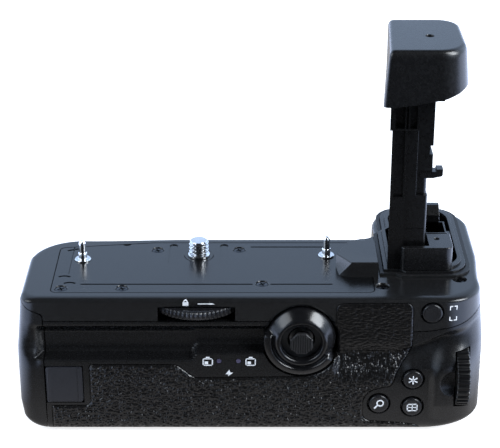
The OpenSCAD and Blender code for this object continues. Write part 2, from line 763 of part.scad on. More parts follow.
// Frame of the shutter button: Z points out of the casing's corner
module shutter_frame() {
    translate([shutter_at[0], shutter_at[1], shutter_z]) rotate([0, 0, shutter_a]) rotate([0, 90, 0])
        translate([0, 0, grip_r]) children();
}

// Metal plate under the body
module base_plate() {
    color("#2a2c30") difference() {
        linear_extrude(base_t) polygon(round_rect(base_x, base_y, 4));
        translate([0, 0, -over]) cylinder(r = socket_r + 3.5 + run_gap, h = base_t + 2 * over);
        for (p = base_screw_places) translate([p[0], p[1], -over])
            cylinder(r = screw_head_r + run_gap, h = base_t + 2 * over);
    }
}

base_screw_places = [for (x = [base_x[0] + 6, base_x[1] - 6], y = [base_y[0] + 5, base_y[1] - 5]) [x, y]];

// Screws of the base plate
module base_screws() {
    color("#3a3d42") for (p = base_screw_places) translate([p[0], p[1], head_sink]) mirror([0, 0, 1])
        small_screw(base_t - head_sink, base_t - head_sink);
}

// Threaded bush for a tripod
module tripod_socket() {
    color("#b4b8bc") difference() {
        union() {
            cylinder(r = socket_r + 3.5, h = socket_depth + socket_roof);
            translate([0, 0, base_t]) cylinder(r = socket_r + 6, h = 1.5);
        }
        translate([0, 0, -over]) cylinder(r = socket_r, h = socket_depth + over);
    }
}

// Rubber's outline in X and Z on the rear
thumb_x = [joy_x + 11.2, x_right - 23.1];
thumb_z0 = recess_z0 - 1.1;
thumb_z1 = body_h - top_round - 0.1;
thumb_r = 2;
panel_x0 = -8;
panel_r = 4;
panel_z = [recess_z0 - 9.3, recess_z0 - 4.6];
panel_top = recess_z0 + 0.7;
cord_edge = 2.8;
cord_edge_r = 1.8;
pad_end = x_right - 22;
rubber_left = x_seam + 2;
rubber_z0 = 1.5;
rubber_points = concat(
    [[rubber_left, rubber_z0], [rubber_left, cord_z0 - 1.6]],
    arc(cord_x1 + cord_edge - cord_edge_r, cord_z0 - 1.6 + cord_edge_r, cord_edge_r, 270, 360, 3),
    [[cord_x1 + cord_edge, panel_z[1]]],
    arc(panel_x0, panel_z[1] - panel_r, panel_r, 90, 45, 3),
    arc(panel_x0 + 8.5, panel_z[0] + panel_r, panel_r, 225, 270, 3),
    arc(joy_x, joy_z, guard_r + 0.6, 270, 325, 6),
    [[thumb_x[0], joy_z - 5.5]],
    arc(thumb_x[0] + thumb_r, thumb_z1 - thumb_r, thumb_r, 180, 90, 3),
    arc(thumb_x[1] - thumb_r, thumb_z1 - thumb_r, thumb_r, 90, 0, 3),
    [[thumb_x[1], thumb_z0], [zoom_at[0] + 4.4, zoom_at[1] + 10]],
    arc(zoom_at[0] + 0.5, zoom_at[1] + 0.2, button_r + 2.5, 120, 200, 4),
    [[zoom_at[0] - 4.6, zoom_at[1] - 4.8], [zoom_at[0] - 3.2, zoom_at[1] - 6.4],
    [pad_end, rubber_z0 + 2.1], [pad_end + 1.2, rubber_z0]]);

// Section of the rear skin in Y and Z between two distances from the wall
function skin(d0, d1) = let (zs = concat([for (z = bottom_steps) if (z >= rubber_z0) z], recess_steps,
    [seam_z, body_h - top_round])) concat(
    [for (z = zs) [-wall_rear(z) - d1, z]],
    [for (i = [len(zs) - 1:-1:0]) [-wall_rear(zs[i]) - d0, zs[i]]]);

// Textured rubber on the rear, with the thumb rest
module rear_rubber() {
    color("#101013") intersection() {
        slab_y(rubber_points, -rear_low - 10, 0);
        translate([x_left, 0, 0]) rotate([90, 0, 90])
            linear_extrude(x_right - x_left) polygon(skin(0, rubber_t));
    }
}

// Textured rubber round the hand grip
module front_rubber() {
    zs = [for (z = low_levels) if (z > front_round && z < bay_z1) z];
    back = grip_reach - 16;
    end_x = x_right - grip_r + 1;
    color("#101013") difference() {
        intersection() {
            loft(zs, rubber_t);
            box([tower_x0 - grip_w, end_x], [back, back + 2 * grip_reach], [0, body_h]);
        }
        loft(low_levels);
    }
}

lock_bar_w = 4;
lock_bar_t = 1.2;
lock_bar_l = tray_h / 2 + slide_gap + bay_wall + 0.6;
lock_x = [x_seam + 1.5, x_seam + 1.5 + lock_bar_t];
lock_room = 0.3;
boss_r = 3;

// Fixed bay that the magazine slides into
module magazine_bay() {
    y = [bay_y0, bay_y1];
    z = [bay_z0, bay_z1];
    color("#26282c") difference() {
        union() {
            box([x_seam + seam_gap, bay_x1], y, z);
            for (p = base_screw_places) translate([p[0], p[1], base_t])
                cylinder(r = boss_r, h = bay_z0 - base_t + 0.5);
        }
        box([x_seam - over, bay_x1 + over], [y[0] + bay_wall, y[1] - bay_wall],
            [z[0] + bay_wall, z[1] - bay_wall]);
        box([lock_x[0] - lock_room, lock_x[1] + lock_room],
            [tray_yc - lock_bar_l * 0.8, tray_yc + lock_bar_l * 0.8], [z[0] - over, z[1] + over]);
        box(passage_x, [y[0] - over, y[0] + bay_wall + over], passage_z);
    }
}

// Contact board at the bay's end
module bay_board() {
    color("#1f5a34") box([board_x0, bay_x1],
        [bay_y0 + bay_wall + board_gap, bay_y1 - bay_wall - board_gap],
        [bay_z0 + bay_wall + board_gap, bay_z1 - bay_wall - board_gap]);
}

contact_pitch = 6;
contact_ys = [for (i = [0:3]) tray_yc + contact_pitch * (i - 1.5)];
contact_w = 2.4;
contact_half = 4;
strip_half = 5.8;
strip_t = 0.6;
strip_gap = 0.2;

// Spring contacts on that board
module bay_contacts() {
    color("#c9a94e") for (y = contact_ys)
        box([tray_x1 + slide_gap, board_x0], [y - contact_w / 2, y + contact_w / 2],
            [tray_zc - contact_half, tray_zc + contact_half]);
}

tray_y = [tray_yc - tray_w / 2, tray_yc + tray_w / 2];
tray_z = [tray_zc - tray_h / 2, tray_zc + tray_h / 2];
pocket_x = [for (i = [0, 1]) first_wall_x + tray_wall + i * (pocket_l + tray_wall)];

// Tray for two batteries, open at the top
module magazine_tray() {
    bar_room = lock_bar_l + 0.6;
    color("#22242a") difference() {
        box([x_seam, tray_x1], tray_y, tray_z);
        for (x = pocket_x) box([x, x + pocket_l], [tray_y[0] + tray_wall, tray_y[1] - tray_wall],
            [tray_z[0] + tray_floor, tray_z[1] + over]);
        box([x_seam + tray_wall, first_wall_x], [tray_yc - bar_room, tray_yc + bar_room],
            [tray_z[0] - over, tray_z[1] + over]);
        rod_x(tray_yc, tray_zc, spindle_r + run_gap, x_seam - over, x_seam + tray_wall + over);
        box(passage_x, [tray_y[0] - over, tray_y[0] + tray_wall + over], passage_z);
        for (y = contact_ys)
            box([tray_x1 - strip_t, tray_x1 + over],
                [y - contact_w / 2 - strip_gap, y + contact_w / 2 + strip_gap],
                [tray_zc - strip_half - strip_gap, tray_zc + strip_half + strip_gap]);
    }
}

// Contact strips on the tray's end
module tray_contacts() {
    color("#c9a94e") for (y = contact_ys)
        box([tray_x1 - strip_t, tray_x1], [y - contact_w / 2, y + contact_w / 2],
            [tray_zc - strip_half, tray_zc + strip_half]);
}

well_d = 3;
knob_gap = 0.4;
knob_sink = 0.3;
spindle_x0 = x_left + 1.6;

// End cap that closes the bay and carries the release knob
module magazine_end_cap() {
    cap_wall = wall + 0.4;
    color("#17181c") difference() {
        intersection() {
            loft(all_levels);
            slab_y(cap_face(0), -rear_low - 10, grip_reach + 10);
        }
        // Hollow behind the outer wall
        box([x_left + well_d + cap_wall, x_seam + over],
            [tray_y[0] + cap_wall, tray_y[1] - cap_wall], [tray_z[0] + cap_wall, tray_z[1] - cap_wall]);
        rod_x(tray_yc, tray_zc, knob_r + knob_gap, x_left - over, x_left + well_d);
        rod_x(tray_yc, tray_zc, spindle_r + run_gap, x_left, x_seam + over);
    }
}

// Knob in the end cap's well
module release_knob() {
    bar_w = 3.4;
    grip_hole_r = knob_r * 0.62;
    grip_hole_d = 1.7;
    color("#1b1c1f") difference() {
        rod_x(tray_yc, tray_zc, knob_r, x_left + knob_sink, x_left + well_d - knob_sink);
        for (s = [-1, 1])
            rod_x(tray_yc + s * (grip_hole_r + bar_w / 2), tray_zc, grip_hole_r,
                x_left, x_left + grip_hole_d);
        rod_x(tray_yc, tray_zc, spindle_r + axle_gap, spindle_x0, x_left + well_d);
    }
}

// Spindle with the lock bar
module release_spindle() {
    color("#b4b8bc") union() {
        rod_x(tray_yc, tray_zc, spindle_r, spindle_x0, lock_x[1]);
        box(lock_x, [tray_yc - lock_bar_l, tray_yc + lock_bar_l],
            [tray_zc - lock_bar_w / 2, tray_zc + lock_bar_w / 2]);
    }
}

// Control board on the bay's roof
module main_board() {
    edge = 2;
    x0 = carrier_x + 1.5;
    z1 = bay_z1 + board_t;
    chip = [8, 6, 1.2];
    // Each chip from the board's left end, and along Y
    chips = [[8, -8], [22, 2], [36, -10]];
    color("#1f5a34") union() {
        box([x0, bay_x1 - edge], [bay_y0 + edge, front_reach - wall - part_gap], [bay_z1, z1]);
        for (c = chips)
            box([x0 + c[0], x0 + c[0] + chip[0]], [c[1], c[1] + chip[1]], [z1 - 0.01, z1 + chip[2]]);
    }
}

// Guard ring round the joystick
module joystick_collar() {
    rim_r = 9;
    seat_y = -rear_reach + 0.4;
    length = collar_y1 - collar_y0;
    color("#1b1c20") union() {
        translate([joy_x, collar_y1, joy_z]) rotate([90, 0, 0]) rotate_extrude() polygon([
            [joy_hole_r + lip_over, 0], [collar_r, 0], [collar_r, collar_y1 - seat_y],
            [rim_r + 1.2, length - 1], [rim_r, length], [rim_r - 1.2, length], [joy_hole_r, length - 1.2],
            [joy_hole_r, length - lip_t], [joy_hole_r + lip_over, length - lip_t]]);
        difference() {
            guard_sector(guard_r, -rear_low - guard_out, -rear_floor);
            rod_y(joy_x, joy_z, joy_hole_r + 2, -rear_low - 5, 0);
        }
    }
}

// Lower left part of a disc round the joystick
module guard_sector(r, y0, y1) {
    turn = 20;
    drop = 1;
    intersection() {
        rod_y(joy_x, joy_z, r, y0, y1);
        translate([joy_x, 0, joy_z]) rotate([0, turn, 0]) box([-20, 20], [-60, 0], [-20, -drop]);
    }
}

joy_run = 0.3;
housing_r = joy_hole_r + lip_over - joy_run;
housing_in_r = 4.3;
gimbal_r = 3.6;
gimbal_in_r = 2.5;
trunnion_r = 0.5;

// Housing that moves when the stick is pressed
module joystick_housing() {
    y1 = collar_y1 - 0.2;
    y0 = collar_y0 + lip_t + 0.2;
    color("#2b2d31") difference() {
        rod_y(joy_x, joy_z, housing_r, y0, y1);
        rod_y(joy_x, joy_z, housing_in_r, y0 - over, y1 - 0.9);
        translate([joy_x, joy_y, joy_z - housing_r - over])
            cylinder(r = trunnion_r + run_gap, h = 2 * housing_r + 2 * over);
    }
}

// Ring between the housing and the stick
module joystick_gimbal() {
    color("#9a9ea3") difference() {
        union() {
            rod_y(joy_x, joy_z, gimbal_r, joy_y - 0.9, joy_y + 0.9);
            translate([joy_x, joy_y, joy_z - housing_r + 0.6])
                cylinder(r = trunnion_r, h = 2 * housing_r - 1.2);
        }
        rod_y(joy_x, joy_z, gimbal_in_r, joy_y - 2, joy_y + 2);
        rod_x(joy_y, joy_z, trunnion_r + run_gap, joy_x - gimbal_r - over, joy_x + gimbal_r + over);
    }
}

// Stick with its ribbed cap
module joystick_stick() {
    stem = 1.5;
    cap_y = collar_y0 - 0.6;
    cap_t = 1.8;
    color("#17181b") union() {
        rod_y(joy_x, joy_z, stem, cap_y + cap_t - 0.1, joy_y + 0.9);
        rod_x(joy_y, joy_z, trunnion_r, joy_x - gimbal_r + 0.3, joy_x + gimbal_r - 0.3);
        translate([joy_x, cap_y + cap_t, joy_z]) rotate([90, 0, 0]) rotate(22.5)
            cylinder(r = stick_r, h = cap_t, $fn = 8);
    }
}

// Push button along Y with its stem and two retaining wings
module push_button(x, z, face_y, inner_y, stem_y) {
    edge = 0.3;
    wing_y = inner_y + flange_gap;
    wing_x = button_r + flange_over + 0.3;
    wing_z = 1.8;
    top_y = face_y - button_out;
    translate([x, 0, z]) union() {
        rotate([90, 0, 0]) rotate_extrude() polygon([
            [0, -stem_y], [stem_r, -stem_y], [stem_r, -wing_y - 0.1], [button_r, -wing_y - 0.1],
            [button_r, -top_y - edge], [button_r - edge, -top_y], [0, -top_y]]);
        box([-wing_x, wing_x], [wing_y, wing_y + flange_t], [-wing_z, wing_z]);
    }
}

low_stem_y = low_board_y - switch_t - switch_gap - button_travel;
af_stem_y = af_board_y - switch_t - switch_gap - button_travel;

module low_button(at) {
    color("#1b1c1f") push_button(at[0], at[1], -rear_low, low_in, low_stem_y);
}
module star_button() { low_button(star_at); }
module zoom_button() { low_button(zoom_at); }
module grid_button() { low_button(grid_at); }
module af_button() {
    color("#1b1c1f") push_button(af_x, af_z, -rear_reach, band_in, af_stem_y);
}

// Board behind the three lower buttons
module button_board() {
    edge = 5;
    color("#1f5a34") box([zoom_at[0] - edge, star_at[0] + edge], [low_board_y, low_board_y + board_t],
        [grid_at[1] - button_r, star_at[1] + edge]);
}

// Board behind the focus button, hung from the top cover
module af_board() {
    half = 6;
    color("#1f5a34") box([af_x - half, af_x + half], [af_board_y, af_board_y + board_t],
        [af_z - button_r, ceiling_z]);
}

// Switches under the rear buttons
module button_switches() {
    half = 1.6;
    color("#c8ccd0") union() {
        for (b = low_buttons)
            box([b[0] - half, b[0] + half], [low_board_y - switch_t, low_board_y],
                [b[1] - half, b[1] + half]);
        box([af_x - half, af_x + half], [af_board_y - switch_t, af_board_y], [af_z - half, af_z + half]);
    }
}

// Wheel with ribs along its axis, axis along Z
module ribbed_wheel(r, w, bore, ribs) {
    depth = 0.6;
    difference() {
        linear_extrude(w) polygon([for (i = [0:ribs - 1], k = [0:3])
            let (a = 360 * (i + [0, 0.45, 0.55, 0.9][k]) / ribs, q = r - (k > 1 ? depth : 0))
            [q * cos(a), q * sin(a)]]);
        translate([0, 0, -over]) cylinder(r = bore, h = w + 2 * over);
    }
}

// Rear dial
module rear_dial() {
    color("#0f0f11") translate([dial_x - dial_w / 2, dial_y, dial_z]) rotate([0, 90, 0])
        ribbed_wheel(dial_r, dial_w, dial_axle_r + run_gap, 30);
}

lug_t = 1;
rear_lug_x = dial_room[0] - lug_t;

// Axle of the rear dial, from the bracket to the casing's corner
module rear_dial_axle() {
    color("#b4b8bc") rod_x(dial_y, dial_z, dial_axle_r, rear_lug_x, axle_end - axle_gap);
}

// Bracket of the rear dial, on the bay's end
module rear_dial_bracket() {
    back = dial_y + dial_r + dial_gap;
    lug_z = [dial_z - 4, dial_z + 4];
    color("#3a3d42") difference() {
        union() {
            box([rear_lug_x, dial_room[0]], [dial_y - 1.6, back + lug_t], lug_z);
            box([bay_x1, dial_room[0]], [back, back + lug_t], lug_z);
        }
        rod_x(dial_y, dial_z, dial_axle_r + axle_gap, rear_lug_x - over, dial_room[0] + over);
    }
}

// Front dial on the right end
module front_dial() {
    color("#0f0f11") translate([front_dial_x, front_dial_y + front_dial_w / 2, front_dial_z])
        rotate([90, 0, 0]) ribbed_wheel(front_dial_r, front_dial_w, dial_axle_r + run_gap, 32);
}

front_room = [front_dial_y - front_dial_w / 2 - dial_gap, front_dial_y + front_dial_w / 2 + dial_gap];
front_lugs = [front_room[0] - lug_t, front_room[1]];

// Axle of the front dial
module front_dial_axle() {
    color("#b4b8bc") rod_y(front_dial_x, front_dial_z, dial_axle_r, front_lugs[0], front_lugs[1] + lug_t);
}

// Bracket of the front dial, on the bay's end
module front_dial_bracket() {
    half = 3;
    roof = front_dial_z + front_dial_r + dial_gap;
    ends = [front_lugs[0], front_lugs[1] + lug_t];
    color("#3a3d42") difference() {
        union() {
            for (y = front_lugs)
                box([front_dial_x - half, front_dial_x + half], [y, y + lug_t],
                    [front_dial_z - half, roof + lug_t]);
            box([bay_x1, front_dial_x + half], ends, [roof, roof + lug_t]);
        }
        rod_y(front_dial_x, front_dial_z, dial_axle_r + axle_gap, ends[0] - over, ends[1] + over);
    }
}

shutter_out = 1.4;
shutter_flange = 0.6;
shutter_gap = 0.15;
shutter_run = 1;
bezel_foot = -bezel_l - 1.2;

// Release button in the hand grip's corner
module shutter_button() {
    flange_r = shutter_r + shutter_flange;
    flange_z = [-bezel_l + 0.6, -bezel_l + 1.6];
    edge = 0.6;
    stem_z = -bezel_l - 1.4;
    color("#1b1c1f") shutter_frame() rotate_extrude() polygon([
        [0, stem_z], [stem_r, stem_z], [stem_r, flange_z[0]], [flange_r, flange_z[0]],
        [flange_r, flange_z[1]], [shutter_r, flange_z[1]], [shutter_r, shutter_out - edge],
        [shutter_r - edge, shutter_out], [0, shutter_out]]);
}

// Ring round the release button
module shutter_bezel() {
    bore = shutter_r + shutter_gap;
    wide = bore + shutter_flange;
    rim_r = shutter_r + bezel_w;
    rim_z = 0.6;
    edge = 0.4;
    step_z = -bezel_l + 1.8;
    color("#26282c") shutter_frame() rotate_extrude() polygon([
        [bore, step_z], [wide, step_z], [wide, bezel_foot], [rim_r, bezel_foot],
        [rim_r, rim_z - edge], [rim_r - edge, rim_z], [bore, rim_z]]);
}

// Switch under the release button
module shutter_switch() {
    z0 = -bezel_l - shutter_run - 3.8;
    key_r = 2.4;
    key_h = 2.2;
    plate_h = 1;
    leg_r = 0.5;
    rim_r = shutter_r + bezel_w;
    color("#1f5a34") shutter_frame() translate([0, 0, z0]) union() {
        cylinder(r = key_r, h = key_h);
        cylinder(r = rim_r, h = plate_h);
        for (a = [0:90:270]) rotate(a) translate([rim_r - leg_r - 0.1, 0, 0])
            cylinder(r = leg_r, h = bezel_foot - z0);
    }
}

// Small button on the right end
module function_button() {
    flange_x = x_right - wall - flange_gap;
    flange_r = function_r + flange_over;
    end_x = x_right + button_out;
    stem_x = flange_x - 2.4;
    color("#1b1c1f") translate([0, function_y, function_z]) rotate([0, 90, 0]) rotate_extrude() polygon([
        [0, stem_x], [stem_r, stem_x], [stem_r, flange_x - flange_t],
        [flange_r, flange_x - flange_t], [flange_r, flange_x], [function_r, flange_x], [function_r, end_x],
        [0, end_x]]);
}

// Light pipes of the charge lamps
module charge_lights() {
    color("#8a86b0") for (p = light_places) rod_y(p[0], p[1], light_r, -rear_low + 0.05, low_in + 0.6);
}

// Flap over the cord passage, round at its hinge
module cord_cover() {
    face_y = -rear_low - cord_out;
    ridge_x = [cord_x1 - 1.6, cord_x1 - 1];
    ridge_h = 0.3;
    edge = 0.6;
    color("#23262c") union() {
        translate([cord_axis[0], cord_axis[1], cord_z0]) cylinder(r = cord_hinge_r, h = cord_z1 - cord_z0);
        box([cord_axis[0], cord_x1], [face_y, -rear_low + cord_t], [cord_z0, cord_z1]);
        box(ridge_x, [face_y - ridge_h, -rear_low], [cord_z0 + edge, cord_z1 - edge]);
    }
}

// Plan of the tower's plinth
plinth_y1 = grip_reach - 4;
plinth_r = 9;
plinth_near_r = 8;
plinth_step = 1.8;
plinth_shift = 1.6;
function plinth(d) = let (r = x_right - 4.6 + d, l = tower_x0 - 1.1 - d, b = tower_y0 - 0.8 - d,
    far = l + plinth_shift, y1 = plinth_y1 + d - plinth_r) concat(
    [[l, b], [l + 5, b], [l + 7, b - plinth_step]],
    arc(r - plinth_near_r, b - plinth_step + plinth_near_r, plinth_near_r, 290, 360, 4),
    arc(r - plinth_r, y1, plinth_r, 0, 90, 5),
    arc(far + plinth_r, y1, plinth_r, 90, 180, 5),
    [[far, tower_y1 + 1], [l, tower_y1 - 1]]);

// Plinth under the tower
module tower_base() {
    // Small slot beside the clip box
    slot_x = [x_right - 9.4, x_right - 7.2];
    slot_y = [tower_y1 - 3, tower_y1 - 0.6];
    slot_z = body_h + 0.6;
    color("#1a1b1f") difference() {
        translate([0, 0, body_h]) linear_extrude(base_h) polygon(plinth(0));
        box(slot_x, slot_y, [slot_z, body_h + base_h + over]);
    }
}

// Rim seal round the plinth
module tower_seal() {
    seal_w = 1.2;
    fit = 0.1;
    color("#0c0c0e") translate([0, 0, body_h]) linear_extrude(base_h / 2) difference() {
        polygon(plinth(fit + seal_w));
        polygon(plinth(fit));
    }
}

collar_z = body_h + 48.7;
rib_x = tower_x0 + 5.1;
rib_back = 1.2;
plate_w = 3.7;
waist_z = [body_h + 27, body_h + 33.5];

// Box whose left face leans in towards the front
module lean_box(x, y, z) {
    translate([0, 0, z[0]]) linear_extrude(z[1] - z[0])
        polygon([[x[0], y[0]], [x[1], y[0]], [x[1], y[1]], [x[0] + tower_lean, y[1]]]);
}

// Column of the tower with its step, groove and stiffening plate
module tower_column() {
    lap = 0.5;
    plate_y = [tower_y0 + 2, tower_y1 - 2];
    // Stiffening plate: width past the column, foot and top of each step
    steps = [[2.2, tower_z0, waist_z[0]], [1.6, waist_z[0] - lap, waist_z[1]],
        [plate_w, waist_z[1] - lap, head_z0]];
    groove_x = [tower_x0 + 1, tower_x0 + 4.6];
    groove_d = 0.9;
    pockets = [[tower_x0 + 0.6, tower_x0 + 4.2], [tower_x0 + 5.6, tower_x1 - 1.6]];
    pocket_d = 2;
    notch = [1.2, 8, 3];
    notch_z = body_h + 40.6;
    color("#121214") difference() {
        union() {
            lean_box([tower_x0, rib_x], [tower_y0, tower_y1], [tower_z0, head_z0]);
            box([rib_x - lap, tower_x1], [tower_y0 + rib_back, tower_y1], [tower_z0, head_z0]);
            lean_box([head_x0, tower_x1 - 1], [head_y0, tower_y1], [collar_z, head_z0]);
            for (p = steps) box([tower_x1 - lap, tower_x1 + p[0]], plate_y, [p[1], p[2]]);
        }
        box(groove_x, [tower_y0 - over, tower_y0 + groove_d], [waist_z[0] - 1, collar_z - 0.4]);
        for (x = pockets)
            box(x, [tower_y0 - over, tower_y0 + pocket_d], [collar_z + 0.8, head_z0 + over]);
        box([tower_x1 + plate_w - notch[0], tower_x1 + plate_w + over], [tower_y0, tower_y0 + notch[1]],
            [notch_z, notch_z + notch[2]]);
    }
}

// Head's plan: nearly straight on the left, round on the right, grown by d
function head_plan(d) = let (x0 = head_x0 - d, x1 = head_x0 + head_w + d, y0 = head_y0 - d,
    y1 = tower_y1 + d, r = head_corner + d) concat(
    arc(x0 + r, y0 + r, r, 180, 270, 4), arc(x1 - head_r, y0 + head_r, head_r, 270, 360),
    arc(x1 - head_r, y1 - head_r, head_r, 0, 90),
    arc(x0 + tower_lean + r, y1 - r, r, 90, 180, 4));

// Contact head at the top of the tower
module tower_head() {
    // Tab that hangs below the cover's edge
    tab_x = [tower_x1 + 3.8, tower_x1 + 6.8];
    tab_y = [tower_y0 + 1, tower_y0 + 4];
    tab_h = 8.1;
    color("#1b1c1f") difference() {
        union() {
            translate([0, 0, head_z0]) linear_extrude(head_h) polygon(head_plan(0));
            box(tab_x, tab_y, [head_z0 - tab_h, head_z0 + over]);
        }
        for (y = terminal_ys)
            box([terminal_x[0] - slot_gap, terminal_x[1] + slot_gap],
                [y - terminal_w / 2 - slot_gap, y + terminal_w / 2 + slot_gap],
                [tower_z1 - slot_d, tower_z1 + over]);
    }
}

terminal_pitch = 4.4;
terminal_ys = [for (i = [0:4]) tower_y0 + 5 + i * terminal_pitch];
terminal_x = [tower_x0 + 5.2, tower_x0 + 12.8];
terminal_w = 1.4;
slot_gap = 0.2;
slot_d = 1;

// Terminals in the head
module tower_terminals() {
    color("#c9a94e") for (y = terminal_ys)
        box(terminal_x, [y - terminal_w / 2, y + terminal_w / 2], [tower_z1 - slot_d, tower_z1 - 0.1]);
}

// Block in front of the tower's foot
module foot_block() {
    foot_w = 15.4;
    foot_h = 9.6;
    front_d = 2;
    left_r = 1.6;
    right_r = 2.4;
    ear_l = 9;
    hole_r = 0.8;
    hole_d = 2;
    x = [rib_x + 0.1, rib_x + 0.1 + foot_w];
    y1 = tower_y0 - 0.1;
    y0 = y1 - front_d;
    z1 = body_h + foot_h;
    ear_x = tower_x1 + plate_w + 0.2;
    ear_y = y1 + ear_l;
    color("#17181b") difference() {
        translate([0, 0, tower_z0]) linear_extrude(z1 - tower_z0) polygon(concat(
            [[x[0], y1]], arc(x[0] + left_r, y0 + left_r, left_r, 180, 270, 4),
            arc(x[1] - right_r, y0 + right_r, right_r, 270, 360, 4),
            [[x[1], ear_y], [ear_x, ear_y], [ear_x, y1]]));
        translate([ear_x + 3, y1 + 5, z1 - hole_d]) cylinder(r = hole_r, h = hole_d + over);
    }
}

// Hook that holds the camera's door
module door_hook() {
    x0 = tower_x1 + plate_w + run_gap;
    x1 = x0 + 3.6;
    z0 = waist_z[1] - 0.7;
    z1 = z0 + 4.6;
    hook_t = 2.2;
    y0 = tower_y0 + 2.5;
    hook_l = 6;
    color("#17181b") slab_y([[x0, z0], [x1 - 0.4, z0 + 0.8], [x1, z0 + 1.6], [x1, z1], [x1 - hook_t, z1],
        [x1 - hook_t, z0 + 3.2], [x0, z0 + 3]], y0, y0 + hook_l);
}

socket_w = 7;
socket_l = 9;
socket_x0 = tower_x1 + plate_w + 0.1;
socket_y0 = tower_y0 + 10.5;
socket_x = [socket_x0, socket_x0 + socket_w];
socket_y = [socket_y0, socket_y0 + socket_l];
socket_wall = 0.8;

// Clip box that takes the camera's removed door, with a taller post behind it
module door_socket() {
    z1 = body_h + 9;
    post_rise = 5;
    post_x = [socket_x[0] + 0.4, socket_x[1] - 1.6];
    post_y = [socket_y[1] - 0.5, socket_y[1] + 4];
    color("#111113") difference() {
        union() {
            box(socket_x, socket_y, [tower_z0, z1]);
            box(post_x, post_y, [tower_z0, z1 + post_rise]);
        }
        box([socket_x[0] + socket_wall, socket_x[1] - socket_wall],
            [socket_y[0] + socket_wall, socket_y[1] - socket_wall], [tower_z0 + 1, z1 + over]);
    }
}

// Block that fills the camera's hinge recess
module wedge_block() {
    x1 = tower_x0 - 2.9;
    h = 4.5;
    foot = 1.4;
    mid_y = tower_y0 + 4.6;
    near_y = tower_y0 - 1.9;
    far_y = 2;
    tab_x = [x1 - 5.2, x1 - 3.2];
    tab_l = 1;
    color("#1d2026") union() {
        hull() {
            translate([0, 0, body_h + h - 0.1]) linear_extrude(0.1) polygon([[x1 - 8.4, far_y],
                [x1 - 13, mid_y], [x1 - 8.4, near_y], [x1, near_y], [x1, far_y]]);
            translate([0, 0, body_h]) linear_extrude(0.1) polygon([[x1 - 8.8, far_y], [x1 - 13.2, mid_y],
                [x1 - 12.4, near_y], [x1 - 9, near_y - foot], [x1, near_y - foot], [x1, far_y]]);
        }
        box(tab_x, [far_y - 0.6, far_y + tab_l], [body_h, body_h + h - 0.4]);
    }
}

// Cap over the contact head, straight on the left, round on the right, with a slanted lower edge
module contact_cover() {
    d = cover_wall + cover_gap;
    z0 = cover_z1 - cover_h;
    x1 = cover_x0 + cover_w;
    mid_x = cover_x0 + cover_w * 0.44;
    edge = 1.2;
    hole_r = 0.9;
    hole_d = 1;
    // Lower edge in X and Z, with room around it
    slant = [[cover_x0 - 10, z0 - 10], [cover_x0 - 10, z0 - 0.4], [mid_x, z0 + cover_rise / 4],
        [x1 + 6, z0 + cover_rise + 0.8], [x1 + 6, z0 - 10]];
    color("#1a1b20") difference() {
        hull() {
            translate([0, 0, z0]) linear_extrude(0.1) polygon(head_plan(d + cover_taper));
            translate([0, 0, cover_z1 - edge]) linear_extrude(0.1) polygon(head_plan(d));
            translate([0, 0, cover_z1 - 0.1]) linear_extrude(0.1) polygon(head_plan(d - edge));
        }
        translate([0, 0, z0 - over])
            linear_extrude(tower_z1 + cover_gap - z0 + over) polygon(head_plan(cover_gap));
        slab_y(slant, tower_y0 - 2 * head_r, tower_y1 + 2 * head_r);
        translate([mid_x + 4, 1.5, cover_z1 - hole_d]) cylinder(r = hole_r, h = hole_d + over);
    }
}

top_cover();
mount_plate();
locating_pins();
screw_bush();
plate_screws();
gear_carrier();
wheel_axle();
lock_wheel();
camera_screw();
screw_gear();
rear_cover();
front_cover();
base_plate();
base_screws();
tripod_socket();
rear_rubber();
front_rubber();
magazine_bay();
bay_board();
bay_contacts();
magazine_tray();
tray_contacts();
magazine_end_cap();
release_knob();
release_spindle();
main_board();
joystick_collar();
joystick_housing();
joystick_gimbal();
joystick_stick();
af_button();
star_button();
zoom_button();
grid_button();
button_board();
af_board();
button_switches();
rear_dial();
rear_dial_axle();
rear_dial_bracket();
front_dial();
front_dial_axle();
front_dial_bracket();
shutter_button();
shutter_bezel();
shutter_switch();
function_button();
charge_lights();
cord_cover();
tower_base();
tower_seal();
tower_column();
tower_head();
tower_terminals();
foot_block();
door_hook();
door_socket();
wedge_block();
contact_cover();
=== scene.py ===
import math

import bpy
import bmesh
import numpy as np
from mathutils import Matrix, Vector


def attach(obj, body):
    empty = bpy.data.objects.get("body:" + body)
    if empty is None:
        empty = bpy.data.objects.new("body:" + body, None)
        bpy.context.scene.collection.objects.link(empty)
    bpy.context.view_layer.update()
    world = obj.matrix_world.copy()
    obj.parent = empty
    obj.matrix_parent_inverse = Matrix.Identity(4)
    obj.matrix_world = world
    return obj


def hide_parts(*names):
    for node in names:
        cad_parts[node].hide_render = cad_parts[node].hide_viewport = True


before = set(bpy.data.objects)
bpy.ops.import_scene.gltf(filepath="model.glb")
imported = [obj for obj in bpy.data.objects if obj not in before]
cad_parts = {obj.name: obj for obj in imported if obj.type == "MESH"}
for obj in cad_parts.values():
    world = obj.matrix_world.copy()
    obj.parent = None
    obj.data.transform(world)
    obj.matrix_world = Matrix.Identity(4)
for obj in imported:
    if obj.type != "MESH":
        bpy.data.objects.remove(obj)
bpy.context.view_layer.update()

scene = bpy.context.scene
MM = 0.001

